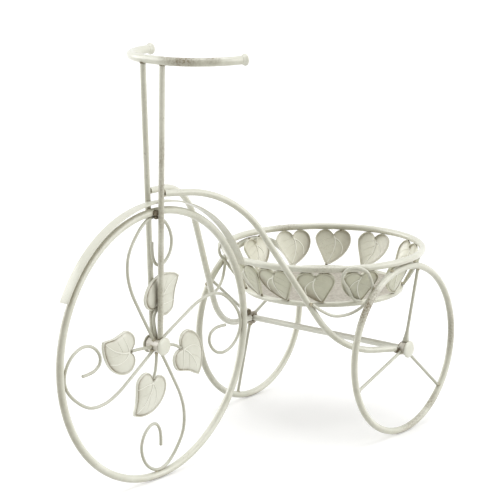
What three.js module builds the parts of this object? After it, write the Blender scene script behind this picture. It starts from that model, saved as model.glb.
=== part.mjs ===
// A decorative plant stand in the shape of a tricycle, welded from painted steel tube, rod and sheet.
// Millimetres. +X is forward (to the big wheel), +Y is the rider's left, +Z is up.
// The origin is on the floor, under the middle of the stand's length and width.

import * as THREE from 'three';

// ---- Driving dimensions ----------------------------------------------------------------------

// Play left between pieces that are welded to each other on the real stand.
const SEAT_GAP = 0.3;

// Wheels: radii are to the middle of the bent tube.
const WHEELBASE = 326;
const TRACK = 251;
const FRONT_RIM_RADIUS = 160;
const FRONT_RIM_TUBE = 9;
const REAR_RIM_RADIUS = 106.5;
const REAR_RIM_TUBE = 8.5;

// Hubs: a short barrel with a domed cap.
const FRONT_BARREL_DIAMETER = 18;
const FRONT_BARREL_LENGTH = 21;
const REAR_BARREL_DIAMETER = 17;
const REAR_BARREL_LENGTH = 11;
const REAR_BARREL_SHIFT = 0.5;
const BARREL_CHAMFER = 0.8;
const CAP_DIAMETER = 21.6;
const CAP_THICKNESS = 3.4;
const CAP_EDGE = 1.6;

// Front wheel filling: four scrolls of rod, and four stamped leaves on stems.
// Each quarter gives its scroll's angle, its stem's length and angle, and the angle of its leaf.
const WIRE_DIAMETER = 3.8;
const WHEEL_QUARTERS = [
  { place: 'front', scrollAngle: -1.4, stemReach: 37, stemAngle: 2, leafAngle: 25 },
  { place: 'top', scrollAngle: 90.7, stemReach: 38, stemAngle: 93, leafAngle: 141 },
  { place: 'rear', scrollAngle: 184, stemReach: 37.5, stemAngle: 197.5, leafAngle: 233 },
  { place: 'bottom', scrollAngle: 271, stemReach: 34, stemAngle: 280, leafAngle: 314 },
];
const WHEEL_LEAF = { width: 52, length: 56, bow: 5.5, sweep: 0 };
const STEM_FOOT_TURN = 8;
const STEM_STRAIGHT = 12;

// Stamped leaf, shared by the front wheel and the basket.
const LEAF_SHEET = 1.2;
const LEAF_RIM_DEPTH = 3.6;
const LEAF_CROWN = 1.4;

// Fork, mudguard and handlebar.
const LEG_TUBE = 7;
const FORK_FOOT_SPREAD = 12;
const FORK_HEAD_SPREAD = 30;
const RIM_WELD_DIAMETER = 5.3;
const HANDLEBAR_HEIGHT = 499;
const HANDLEBAR_TUBE = 10;
const HANDLEBAR_STRAIGHT = 19;
const HANDLEBAR_BEND_RADIUS = 68;
const HANDLEBAR_BEND_ANGLE = 83;
const HANDLEBAR_TAIL = 4.5;
const HANDLEBAR_TURN = -4.5;
const KNOB_DIAMETER = 14;
const KNOB_LENGTH = 6.5;
const KNOB_RECESS = 2;
const MUDGUARD_LIFT = 5.4;
const MUDGUARD_THICKNESS = 1.6;
const MUDGUARD_FRONT_ANGLE = 28;
const MUDGUARD_REAR_ANGLE = 156.4;

// Side tubes of the frame, from the fork down to the rear hubs.
// Each falls gently from the fork, then steeply, then gently again to the hub.
// The spreads are the widths between the pair where the falls change.
const FRAME_TUBE = 8;
const FRAME_HEIGHT_AT_FORK = 346;
const FRAME_TOP_RUN = 97.7;
const FRAME_TOP_FALL = 4.4;
const FRAME_STEEP_FALL = 58.9;
const FRAME_END_FALL = 6.8;
const FRAME_UPPER_SPREAD = 75.4;
const FRAME_LOWER_SPREAD = 194;
const FRAME_UPPER_BEND = 134;
const FRAME_LOWER_BEND = 119;
const AXLE_TUBE = 8;

// Rear wheel spokes: angles up from the forward direction.
const SPOKE_DIAMETER = 4;
const SPOKE_ANGLES = { left: [105.5, 220.5, 341], right: [39.5, 153, 286] };

// Basket. Its top ring lies on both rear rims, so it follows the track: the overhang is how far the
// ring's middle lies outside the wheels' planes. The flare is how much wider the top ring's radius is
// than the bottom ring's.
const BASKET_AHEAD_OF_AXLE = 5;
const BASKET_OVERHANG = 2.5;
const BASKET_FLARE = 27;
const BASKET_TOP_TUBE = 8.5;
const BASKET_BOTTOM_TUBE = 7;
const BASKET_DEPTH = 51;
const TRAY_SHEET = 2;
const BASKET_LEAF_SWEEP = -8;
const BASKET_LEAF_ANGLES = [7.5, 32.7, 59.5, 93, 119, 150, 183, 210.8, 237, 269, 295.5, 320, 344];
// Room between the two closest leaves, at the top ring.
const BASKET_LEAF_PLAY = 3.8;

// Scroll braces between frame, rear rims and basket.
const BRACE_SAG = 24;
const BRACE_START = 188;
const BRACE_RIM_ANGLE = 55.4;

// How finely round things are drawn.
const RING_STEPS = 64;
const TUBE_SIDES = 8;
const WIRE_SIDES = 6;

// ---- Small helpers ---------------------------------------------------------------------------

const radians = THREE.MathUtils.degToRad;
const UP = new THREE.Vector3(0, 0, 1);

// Distance from a round bar's middle to the flats of the polygon that stands for it.
function flatReach(diameter, sides) {
  return (diameter / 2) * Math.cos(Math.PI / sides);
}

// Distance from a ring's middle to the flat facets on its outside.
function ringReach(radius, tube) {
  return (radius + flatReach(tube, TUBE_SIDES)) * Math.cos(Math.PI / RING_STEPS);
}

// A regular polygon with a flat side facing +X.
function roundSection(diameter, sides) {
  const points = [];
  for (let i = 0; i < sides; i += 1) {
    const angle = ((i + 0.5) * 2 * Math.PI) / sides;
    points.push(new THREE.Vector2((diameter / 2) * Math.cos(angle), (diameter / 2) * Math.sin(angle)));
  }
  return points;
}

// A tube bent into a full circle about the Y axis.
function ringGeometry(radius, tube) {
  const profile = roundSection(tube, TUBE_SIDES).map((p) => new THREE.Vector2(radius + p.x, p.y));
  profile.push(profile[0].clone());
  return new THREE.LatheGeometry(profile, RING_STEPS, Math.PI / RING_STEPS);
}

// A round bar that follows a curve, with flat ends.
function barGeometry(curve, diameter, sides, steps) {
  const section = new THREE.Shape(roundSection(diameter, sides));
  return new THREE.ExtrudeGeometry(section, { steps, extrudePath: curve, bevelEnabled: false });
}

// A straight round bar between two points.
function straightBarGeometry(start, end, diameter, sides) {
  const span = end.clone().sub(start);
  const geometry = new THREE.CylinderGeometry(diameter / 2, diameter / 2, span.length(), sides);
  const turn = new THREE.Quaternion().setFromUnitVectors(new THREE.Vector3(0, 1, 0), span.clone().normalize());
  geometry.applyQuaternion(turn);
  const middle = start.clone().add(end).multiplyScalar(0.5);
  geometry.translate(middle.x, middle.y, middle.z);
  return geometry;
}

// A body of revolution about the Y axis from [radius, height] pairs that start and end on the axis.
function turnedGeometry(pairs, steps) {
  return new THREE.LatheGeometry(pairs.map(([r, h]) => new THREE.Vector2(r, h)), steps);
}

// The points of a route with one arc at each inner corner.
function roundedRoute(corners, radii, stepsPerArc) {
  const route = [corners[0].clone()];
  for (let i = 1; i < corners.length - 1; i += 1) {
    const arriving = corners[i].clone().sub(corners[i - 1]).normalize();
    const leaving = corners[i + 1].clone().sub(corners[i]).normalize();
    const bend = arriving.angleTo(leaving);
    const radius = radii[i - 1];
    const start = corners[i].clone().addScaledVector(arriving, -radius * Math.tan(bend / 2));
    const inward = leaving.clone().addScaledVector(arriving, -leaving.dot(arriving)).normalize();
    for (let step = 0; step <= stepsPerArc; step += 1) {
      const angle = (bend * step) / stepsPerArc;
      const point = start.clone().addScaledVector(arriving, radius * Math.sin(angle));
      route.push(point.addScaledVector(inward, radius * (1 - Math.cos(angle))));
    }
  }
  route.push(corners[corners.length - 1].clone());
  return route;
}

function smoothCurve(points) {
  return new THREE.CatmullRomCurve3(points, false, 'centripetal');
}

// The lobes, sides and tip of half a heart, as shares of its width and length; the notch comes first.
const HALF_HEART = [
  [0, 0.14], [0.08, 0.05], [0.2, 0], [0.35, 0.03], [0.46, 0.13], [0.5, 0.27],
  [0.47, 0.42], [0.38, 0.6], [0.23, 0.79], [0.09, 0.94], [0, 1],
];
const HEART_NOTCH = HALF_HEART[0][1];
const HEART_MIDDLE = 0.42;

// A leaf outline point: the bow bends the heart's spine sideways and the sweep carries its tip
// sideways, while its notch stays in place.
function leafPoint(x, y, { width, length, bow, sweep }) {
  const share = (y - HEART_NOTCH) / (1 - HEART_NOTCH);
  const along = Math.max(share, 0);
  const aside = sweep * along ** 2 - 4 * bow * share * (1 - along);
  const lean = (2 * sweep * along - 4 * bow * (1 - 2 * along)) / ((1 - HEART_NOTCH) * length);
  const square = new THREE.Vector2(1, -lean).normalize();
  return new THREE.Vector2(aside, y * length).addScaledVector(square, x * width);
}

// The way into a leaf's notch: its angle from the spine line, and half the angle between its flanks.
function notchOpening(leaf) {
  const [x, y] = HALF_HEART[1];
  const flanks = [x, -x].map((side) => {
    const flank = leafPoint(side, y, leaf).sub(new THREE.Vector2(0, HEART_NOTCH * leaf.length));
    return Math.atan2(flank.x, -flank.y);
  });
  return { tilt: (flanks[0] + flanks[1]) / 2, half: (flanks[0] - flanks[1]) / 2 };
}

// A stamped leaf: a crowned heart with its rim turned back. It lies in the XY plane, crown to +Z,
// with the lobes' tops at y = 0 and the tip at y = length.
function leafGeometry(leaf) {
  const left = HALF_HEART.slice(1, -1).reverse().map(([x, y]) => [-x, y]);
  const outline = [...HALF_HEART, ...left];
  const inset = 1 - (2 * LEAF_SHEET) / Math.min(leaf.width, leaf.length);
  const rings = [
    { share: 0.5, height: LEAF_CROWN * 0.75 },
    { share: 1, height: 0 },
    { share: 1, height: -LEAF_RIM_DEPTH },
    { share: inset, height: -LEAF_RIM_DEPTH },
    { share: inset, height: -LEAF_SHEET },
    { share: 0.5, height: LEAF_CROWN * 0.75 - LEAF_SHEET },
  ];
  const place = (x, y, height) => [...leafPoint(x, y, leaf).toArray(), height];
  const positions = [...place(0, HEART_MIDDLE, LEAF_CROWN)];
  for (const ring of rings) {
    for (const [x, y] of outline) {
      positions.push(...place(x * ring.share, HEART_MIDDLE + (y - HEART_MIDDLE) * ring.share, ring.height));
    }
  }
  positions.push(...place(0, HEART_MIDDLE, LEAF_CROWN - LEAF_SHEET));

  const count = outline.length;
  const last = positions.length / 3 - 1;
  const indices = [];
  for (let i = 0; i < count; i += 1) {
    const next = (i + 1) % count;
    indices.push(0, 1 + i, 1 + next);
    for (let ring = 0; ring < rings.length - 1; ring += 1) {
      const inner = 1 + ring * count;
      const outer = inner + count;
      indices.push(inner + i, outer + i, inner + next);
      indices.push(inner + next, outer + i, outer + next);
    }
    const end = 1 + (rings.length - 1) * count;
    indices.push(last, end + next, end + i);
  }
  const geometry = new THREE.BufferGeometry();
  geometry.setAttribute('position', new THREE.Float32BufferAttribute(positions, 3));
  geometry.setIndex(indices);
  geometry.computeVertexNormals();
  return geometry;
}

// ---- Places worked out from the dimensions ----------------------------------------------------

const basketTopRadius = TRACK / 2 + BASKET_OVERHANG;
const basketBottomRadius = basketTopRadius - BASKET_FLARE;
const basketLeaf = { width: basketLeafWidth(), bow: 0, sweep: BASKET_LEAF_SWEEP };
const frontReach = ringReach(FRONT_RIM_RADIUS, FRONT_RIM_TUBE);
const rearReach = ringReach(REAR_RIM_RADIUS, REAR_RIM_TUBE);
const basketReach = ringReach(basketTopRadius, BASKET_TOP_TUBE) - BASKET_AHEAD_OF_AXLE;
const hindmost = WHEELBASE + Math.max(rearReach, basketReach);
const frontHub = new THREE.Vector3((hindmost - frontReach) / 2, 0, frontReach);
const rearAxleX = frontHub.x - WHEELBASE;
const rearAxle = new THREE.Vector3(rearAxleX, 0, rearReach);
const basketX = rearAxleX + BASKET_AHEAD_OF_AXLE;
const basketTop = basketTopHeight();
const basketBottom = basketTop - BASKET_DEPTH;

// Width of a basket leaf, which the two closest leaves leave room for.
function basketLeafWidth() {
  const turns = BASKET_LEAF_ANGLES.map((angle, index) => {
    const next = BASKET_LEAF_ANGLES[(index + 1) % BASKET_LEAF_ANGLES.length];
    return (next - angle + 360) % 360;
  });
  return 2 * basketTopRadius * Math.sin(radians(Math.min(...turns) / 2)) - BASKET_LEAF_PLAY;
}

// Height of the top ring's middle, so that it rests on both rear rims.
function basketTopHeight() {
  const apart = (BASKET_TOP_TUBE + REAR_RIM_TUBE) / 2 + SEAT_GAP;
  let height = 0;
  for (let degrees = 45; degrees <= 135; degrees += 0.5) {
    const ringX = REAR_RIM_RADIUS * Math.cos(radians(degrees)) - BASKET_AHEAD_OF_AXLE;
    const ringY = Math.sqrt(basketTopRadius ** 2 - ringX ** 2);
    const sideways = ringY - TRACK / 2;
    if (Math.abs(sideways) < apart) {
      const rimZ = REAR_RIM_RADIUS * Math.sin(radians(degrees));
      height = Math.max(height, rimZ + Math.sqrt(apart ** 2 - sideways ** 2));
    }
  }
  return rearReach + height;
}

// Sideways distance from the middle plane to a fork leg's middle, at a height.
function legOffset(z) {
  const foot = frontHub.z + FRONT_BARREL_DIAMETER / 2;
  const share = (z - foot) / (HANDLEBAR_HEIGHT - foot);
  return (FORK_FOOT_SPREAD + share * (FORK_HEAD_SPREAD - FORK_FOOT_SPREAD)) / 2;
}

// The straight stretches of a frame tube: their slopes, and where they meet, as distances behind the
// fork, half the spread, and heights.
const rearBarrelInside = TRACK / 2 + REAR_BARREL_SHIFT - REAR_BARREL_LENGTH / 2;
const [frameTopSlope, frameSteepSlope, frameEndSlope] = [FRAME_TOP_FALL, FRAME_STEEP_FALL, FRAME_END_FALL].map(
  (fall) => Math.tan(radians(fall)),
);
const frameUpperHeight = FRAME_HEIGHT_AT_FORK - FRAME_TOP_RUN * frameTopSlope;
const frameHeightOverAxle = frameUpperHeight - rearAxle.z;
const frameLowerRun = (frameHeightOverAxle + FRAME_TOP_RUN * frameSteepSlope - WHEELBASE * frameEndSlope)
  / (frameSteepSlope - frameEndSlope);
const frameEndRun = WHEELBASE - REAR_BARREL_DIAMETER / 2;
const FRAME_CORNERS = [
  [0, legOffset(FRAME_HEIGHT_AT_FORK), FRAME_HEIGHT_AT_FORK],
  [FRAME_TOP_RUN, FRAME_UPPER_SPREAD / 2, frameUpperHeight],
  [frameLowerRun, FRAME_LOWER_SPREAD / 2, rearAxle.z + (WHEELBASE - frameLowerRun) * frameEndSlope],
  [frameEndRun, rearBarrelInside, rearAxle.z + (WHEELBASE - frameEndRun) * frameEndSlope],
];

// A corner of a frame tube's line; side is 1 (left) or -1 (right).
function frameCorner(index, side) {
  const [behind, spread, z] = FRAME_CORNERS[index];
  return new THREE.Vector3(frontHub.x - behind, side * spread, z);
}

// A point on the straight stretch that follows a corner, at a distance behind the fork.
function frameStretchPoint(index, behind, side) {
  const share = (behind - FRAME_CORNERS[index][0]) / (FRAME_CORNERS[index + 1][0] - FRAME_CORNERS[index][0]);
  return frameCorner(index, side).lerp(frameCorner(index + 1, side), share);
}

// ---- The assembly ------------------------------------------------------------------------------

const group = new THREE.Group();

const FINISH = {
  paint: { color: 0xded9c3, roughness: 0.62, metalness: 0.1 },
  shade: { color: 0xcfcbb2, roughness: 0.62, metalness: 0.1 },
  tray: { color: 0xb4afa4, roughness: 0.75, metalness: 0.15 },
  weld: { color: 0x6b6045, roughness: 0.8, metalness: 0.2 },
};

function addPiece(name, geometry, finish, parent = group) {
  const mesh = new THREE.Mesh(geometry, new THREE.MeshStandardMaterial({ ...finish }));
  mesh.name = name;
  parent.add(mesh);
  return mesh;
}

function sideName(side) {
  return side > 0 ? 'left' : 'right';
}

// A wheel's group: its origin is the hub's middle and its Y axis the wheel's axis.
function wheelGroup(x, y, z) {
  const wheel = new THREE.Group();
  wheel.position.set(x, y, z);
  group.add(wheel);
  return wheel;
}

// A point in a wheel's plane, from a distance and an angle up from the forward direction.
function spokePoint(distance, degrees) {
  return new THREE.Vector3(distance * Math.cos(radians(degrees)), 0, distance * Math.sin(radians(degrees)));
}

function barrelGeometry(diameter, length) {
  const half = length / 2;
  const r = diameter / 2;
  const [faceEdge, sideEdge] = [r - BARREL_CHAMFER, half - BARREL_CHAMFER];
  return turnedGeometry([[0, -half], [faceEdge, -half], [r, -sideEdge], [r, sideEdge], [faceEdge, half], [0, half]], 24);
}

// A hub cap with its flat back at y = 0 and its dome towards +Y.
function capGeometry() {
  const r = CAP_DIAMETER / 2;
  const pairs = [[0, 0], [r, 0], [r, CAP_EDGE], [r * 0.86, CAP_THICKNESS * 0.8], [r * 0.5, CAP_THICKNESS * 0.96]];
  pairs.push([0, CAP_THICKNESS]);
  return turnedGeometry(pairs, 24);
}

function addCap(name, wheel, offset, side) {
  const cap = addPiece(name, capGeometry(), FINISH.shade, wheel);
  cap.position.y = side * (offset + SEAT_GAP);
  if (side < 0) {
    cap.rotation.x = Math.PI;
  }
}

// One scroll, as shares of the way from hub to rim and degrees about the hub: out along a bowed
// stalk, round against the rim and back in a hook.
const SCROLL_ROUTE = [
  [0, -37], [0.16, -33], [0.33, -32], [0.5, -31], [0.65, -28], [0.79, -22.5], [0.9, -14.5], [0.98, -7],
  [1, -1.5], [0.97, 4], [0.91, 8.5], [0.82, 12], [0.73, 12.8], [0.65, 10.5], [0.6, 5.5], [0.605, 0.5],
  [0.66, -2.7], [0.73, -3.4], [0.8, -3.2],
];

function scrollGeometry(baseAngle) {
  const inner = FRONT_BARREL_DIAMETER / 2 + SEAT_GAP;
  const outer = FRONT_RIM_RADIUS - (FRONT_RIM_TUBE + WIRE_DIAMETER) / 2 - SEAT_GAP;
  const points = SCROLL_ROUTE.map(([share, turn]) => spokePoint(inner + share * (outer - inner), baseAngle + turn));
  return barGeometry(smoothCurve(points), WIRE_DIAMETER, WIRE_SIDES, 44);
}

// Where a wheel leaf's notch lies.
function wheelLeafNotch({ stemReach, stemAngle }) {
  return spokePoint(FRONT_BARREL_DIAMETER / 2 + stemReach, stemAngle);
}

// A leaf on the front wheel: its notch sits at the stem's end, and its tip points at the leaf angle.
function wheelLeafGeometry(quarter) {
  const geometry = leafGeometry(WHEEL_LEAF);
  geometry.translate(0, -HEART_NOTCH * WHEEL_LEAF.length, (LEAF_RIM_DEPTH - LEAF_CROWN) / 2);
  const along = spokePoint(1, quarter.leafAngle);
  const outward = new THREE.Vector3(0, 1, 0);
  const across = along.clone().cross(outward);
  geometry.applyMatrix4(new THREE.Matrix4().makeBasis(across, along, outward));
  const notch = wheelLeafNotch(quarter);
  return geometry.translate(notch.x, notch.y, notch.z);
}

// The stem leaves the hub and bends into the leaf's notch, as deep as the notch's flanks let it.
function stemGeometry(quarter) {
  const notch = wheelLeafNotch(quarter);
  const { tilt, half } = notchOpening(WHEEL_LEAF);
  const arriving = spokePoint(1, quarter.leafAngle - THREE.MathUtils.radToDeg(tilt));
  const standOff = (WIRE_DIAMETER / 2 + SEAT_GAP) / Math.tan(half);
  const points = [
    spokePoint(FRONT_BARREL_DIAMETER / 2 + SEAT_GAP, quarter.stemAngle - STEM_FOOT_TURN),
    notch.clone().addScaledVector(arriving, -standOff - STEM_STRAIGHT),
    notch.clone().addScaledVector(arriving, -standOff),
  ];
  return barGeometry(smoothCurve(points), WIRE_DIAMETER, WIRE_SIDES, 8);
}

function addFrontWheel() {
  const wheel = wheelGroup(frontHub.x, frontHub.y, frontHub.z);
  addPiece('front_rim', ringGeometry(FRONT_RIM_RADIUS, FRONT_RIM_TUBE), FINISH.paint, wheel);
  addPiece('front_hub', barrelGeometry(FRONT_BARREL_DIAMETER, FRONT_BARREL_LENGTH), FINISH.paint, wheel);
  for (const side of [1, -1]) {
    addCap(`front_hub_cap_${sideName(side)}`, wheel, FRONT_BARREL_LENGTH / 2, side);
  }
  for (const quarter of WHEEL_QUARTERS) {
    addPiece(`front_scroll_${quarter.place}`, scrollGeometry(quarter.scrollAngle), FINISH.paint, wheel);
    addPiece(`front_leaf_stem_${quarter.place}`, stemGeometry(quarter), FINISH.paint, wheel);
    addPiece(`front_leaf_${quarter.place}`, wheelLeafGeometry(quarter), FINISH.paint, wheel);
  }
}

function addFork() {
  const foot = frontHub.z + FRONT_BARREL_DIAMETER / 2 + SEAT_GAP;
  const head = HANDLEBAR_HEIGHT - HANDLEBAR_TUBE / 2 - SEAT_GAP;
  for (const side of [1, -1]) {
    const start = new THREE.Vector3(frontHub.x, side * legOffset(foot), foot);
    const end = new THREE.Vector3(frontHub.x, side * legOffset(head), head);
    addPiece(`fork_leg_${sideName(side)}`, straightBarGeometry(start, end, LEG_TUBE, 12), FINISH.paint);
  }
}

// The weld that fills the gap between a fork leg and the front rim.
function addRimWelds() {
  const z = frontHub.z + FRONT_RIM_RADIUS;
  const inner = FRONT_RIM_TUBE / 2 + SEAT_GAP;
  const outer = legOffset(z) - LEG_TUBE / 2 - SEAT_GAP;
  for (const side of [1, -1]) {
    const start = new THREE.Vector3(frontHub.x, side * inner, z);
    const end = new THREE.Vector3(frontHub.x, side * outer, z);
    addPiece(`fork_rim_weld_${sideName(side)}`, straightBarGeometry(start, end, RIM_WELD_DIAMETER, 10), FINISH.weld);
  }
}

function addMudguard() {
  const inner = FRONT_RIM_RADIUS + FRONT_RIM_TUBE / 2 + MUDGUARD_LIFT;
  const outer = inner + MUDGUARD_THICKNESS;
  const width = 2 * (legOffset(frontHub.z + inner) - LEG_TUBE / 2 - SEAT_GAP);
  const shape = new THREE.Shape();
  shape.absarc(0, 0, outer, radians(MUDGUARD_FRONT_ANGLE), radians(MUDGUARD_REAR_ANGLE), false);
  shape.absarc(0, 0, inner, radians(MUDGUARD_REAR_ANGLE), radians(MUDGUARD_FRONT_ANGLE), true);
  const geometry = new THREE.ExtrudeGeometry(shape, { depth: width, curveSegments: 28, bevelEnabled: false });
  geometry.translate(0, 0, -width / 2);
  geometry.rotateX(Math.PI / 2);
  geometry.translate(frontHub.x, frontHub.y, frontHub.z);
  addPiece('mudguard', geometry, FINISH.paint);
}

// The direction in which one end of the handlebar points, in its own plane.
function handlebarEndDirection(side) {
  const angle = radians(HANDLEBAR_BEND_ANGLE);
  return new THREE.Vector3(-Math.sin(angle), side * Math.cos(angle), 0);
}

// Half of the handlebar's middle line, in its own plane, from its middle to its left end.
function handlebarHalf(steps) {
  const half = HANDLEBAR_STRAIGHT / 2;
  const points = [new THREE.Vector3(0, 0, 0)];
  for (let i = 0; i <= steps; i += 1) {
    const angle = radians((HANDLEBAR_BEND_ANGLE * i) / steps);
    const back = -HANDLEBAR_BEND_RADIUS * (1 - Math.cos(angle));
    points.push(new THREE.Vector3(back, half + HANDLEBAR_BEND_RADIUS * Math.sin(angle), 0));
  }
  for (const share of [0.5, 1]) {
    const bendEnd = points[steps + 1];
    points.push(bendEnd.clone().addScaledVector(handlebarEndDirection(1), share * HANDLEBAR_TAIL));
  }
  return points;
}

// A flared end knob with a shallow recess, standing on y = 0 and opening towards +Y.
function knobGeometry() {
  const r = KNOB_DIAMETER / 2;
  const neck = HANDLEBAR_TUBE / 2;
  const pairs = [[0, 0], [neck, 0], [neck * 1.06, KNOB_LENGTH * 0.35], [r * 0.97, KNOB_LENGTH * 0.7]];
  pairs.push([r, KNOB_LENGTH * 0.86], [r * 0.86, KNOB_LENGTH], [r * 0.55, KNOB_LENGTH]);
  pairs.push([r * 0.42, KNOB_LENGTH - KNOB_RECESS], [0, KNOB_LENGTH - KNOB_RECESS]);
  return turnedGeometry(pairs, 20);
}

function addHandlebar() {
  const bar = new THREE.Group();
  bar.position.set(frontHub.x, frontHub.y, HANDLEBAR_HEIGHT);
  bar.rotation.z = radians(HANDLEBAR_TURN);
  group.add(bar);
  const leftHalf = handlebarHalf(10);
  const rightHalf = leftHalf.slice(1).reverse().map((p) => new THREE.Vector3(p.x, -p.y, p.z));
  addPiece('handlebar', barGeometry(smoothCurve([...rightHalf, ...leftHalf]), HANDLEBAR_TUBE, 10, 30), FINISH.paint, bar);
  for (const side of [1, -1]) {
    const end = leftHalf[leftHalf.length - 1];
    const pointing = handlebarEndDirection(side);
    const knob = addPiece(`handlebar_knob_${sideName(side)}`, knobGeometry(), FINISH.shade, bar);
    knob.quaternion.setFromUnitVectors(new THREE.Vector3(0, 1, 0), pointing);
    knob.position.set(end.x, side * end.y, end.z).addScaledVector(pointing, SEAT_GAP);
  }
}

function addFrameTube(side) {
  const corners = [
    frameStretchPoint(0, LEG_TUBE / 2 + SEAT_GAP, side),
    frameCorner(1, side),
    frameCorner(2, side),
    frameStretchPoint(2, frameEndRun - SEAT_GAP, side),
  ];
  const route = roundedRoute(corners, [FRAME_UPPER_BEND, FRAME_LOWER_BEND], 8);
  addPiece(`frame_tube_${sideName(side)}`, barGeometry(smoothCurve(route), FRAME_TUBE, TUBE_SIDES, 30), FINISH.paint);
}

function addAxle() {
  const half = rearBarrelInside - SEAT_GAP;
  const ends = [-half, half].map((y) => new THREE.Vector3(rearAxle.x, y, rearAxle.z));
  addPiece('rear_axle', straightBarGeometry(ends[0], ends[1], AXLE_TUBE, 12), FINISH.paint);
}

function addRearWheel(side) {
  const name = sideName(side);
  const wheel = wheelGroup(rearAxle.x, (side * TRACK) / 2, rearAxle.z);
  addPiece(`rear_rim_${name}`, ringGeometry(REAR_RIM_RADIUS, REAR_RIM_TUBE), FINISH.paint, wheel);
  const hub = addPiece(`rear_hub_${name}`, barrelGeometry(REAR_BARREL_DIAMETER, REAR_BARREL_LENGTH), FINISH.paint, wheel);
  hub.position.y = side * REAR_BARREL_SHIFT;
  addCap(`rear_hub_cap_${name}`, wheel, REAR_BARREL_LENGTH / 2 + REAR_BARREL_SHIFT, side);
  const inner = REAR_BARREL_DIAMETER / 2 + SEAT_GAP;
  const outer = REAR_RIM_RADIUS - REAR_RIM_TUBE / 2 - SEAT_GAP;
  SPOKE_ANGLES[name].forEach((angle, index) => {
    const geometry = straightBarGeometry(spokePoint(inner, angle), spokePoint(outer, angle), SPOKE_DIAMETER, 8);
    addPiece(`rear_spoke_${name}_${index + 1}`, geometry, FINISH.paint, wheel);
  });
}

function addBasketRing(name, radius, tube, height) {
  const geometry = ringGeometry(radius, tube);
  geometry.rotateX(Math.PI / 2);
  const ring = addPiece(name, geometry, FINISH.paint);
  ring.position.set(basketX, 0, height);
}

// How far a leaf's lobes start from the top ring's middle, since the ring curves in over them.
function lobeStandOff(inward, leaf) {
  const [x, y] = HALF_HEART[2];
  const lobes = [x, -x].map((side) => Math.abs(leafPoint(side, y, { ...leaf, length: BASKET_DEPTH }).x));
  const curve = basketTopRadius - Math.sqrt(basketTopRadius ** 2 - Math.max(...lobes) ** 2);
  return BASKET_TOP_TUBE / 2 + SEAT_GAP + curve * inward;
}

// How far a leaf's upper end is set in from the top ring, so that its crown clears a rear rim that
// passes beside it.
function rimTuck(degrees) {
  const sideways = basketTopRadius * Math.abs(Math.sin(radians(degrees)));
  const ahead = BASKET_AHEAD_OF_AXLE + basketTopRadius * Math.cos(radians(degrees));
  const inside = (TRACK - REAR_RIM_TUBE) / 2 - SEAT_GAP;
  const reach = sideways + LEAF_RIM_DEPTH / 2 + LEAF_CROWN;
  return Math.abs(ahead) < basketLeaf.width / 2 ? Math.max(0, reach - inside) : 0;
}

// A leaf of the basket: it spans from tube to tube, lobes at the top ring, tip at the bottom ring,
// crown outwards.
function basketLeafGeometry(degrees) {
  const upper = radialPoint(basketTopRadius - rimTuck(degrees), degrees, basketTop);
  const lower = radialPoint(basketBottomRadius, degrees, basketBottom);
  const along = lower.clone().sub(upper).normalize();
  const radial = new THREE.Vector3(Math.cos(radians(degrees)), Math.sin(radians(degrees)), 0);
  const outward = radial.clone().addScaledVector(along, -radial.dot(along)).normalize();
  const across = along.clone().cross(outward);
  const start = lobeStandOff(-along.dot(radial), basketLeaf);
  const end = BASKET_BOTTOM_TUBE / 2 + SEAT_GAP;
  const geometry = leafGeometry({ ...basketLeaf, length: lower.distanceTo(upper) - start - end });
  geometry.translate(0, start, LEAF_RIM_DEPTH / 2);
  geometry.applyMatrix4(new THREE.Matrix4().makeBasis(across, along, outward));
  return geometry.translate(upper.x, upper.y, upper.z);
}

// A point about the basket's axis.
function radialPoint(radius, degrees, z) {
  return new THREE.Vector3(basketX + radius * Math.cos(radians(degrees)), radius * Math.sin(radians(degrees)), z);
}

function addBasket() {
  addBasketRing('basket_top_ring', basketTopRadius, BASKET_TOP_TUBE, basketTop);
  addBasketRing('basket_bottom_ring', basketBottomRadius, BASKET_BOTTOM_TUBE, basketBottom);
  const radius = basketBottomRadius - BASKET_BOTTOM_TUBE / 2 - SEAT_GAP;
  const tray = new THREE.CylinderGeometry(radius, radius, TRAY_SHEET, RING_STEPS);
  tray.rotateX(Math.PI / 2);
  tray.translate(basketX, 0, basketBottom);
  addPiece('basket_tray', tray, FINISH.tray);
  BASKET_LEAF_ANGLES.forEach((degrees, index) => {
    const number = String(index + 1).padStart(2, '0');
    addPiece(`basket_leaf_${number}`, basketLeafGeometry(degrees), FINISH.paint);
  });
}

// The belly of a brace, between its start and the rim, as shares of the way and of its sag.
const BRACE_BELLY = [[0.13, 0.4], [0.34, 0.87], [0.54, 1], [0.71, 0.93], [0.88, 0.65]];

// The hook of a brace, as degrees from the rim contact and shares of the basket's depth below the
// top ring, with the share of the way in from the upright to the sloping side of the basket.
const BRACE_HOOK = [
  [-0.5, 0.36, 0.45], [-1.7, 0.23, 0.6], [-3.6, 0.1, 0.3], [-6.3, 0, 0], [-9.8, -0.05, 0],
  [-12.8, -0.05, 0], [-15.3, -0.01, 0], [-16.8, 0.07, 0], [-17.5, 0.18, 0.6], [-16.4, 0.31, 1],
  [-13.8, 0.48, 1], [-11.2, 0.66, 1], [-9, 0.8, 1], [-6.6, 0.87, 1], [-2.2, 0.92, 1],
];

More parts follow.
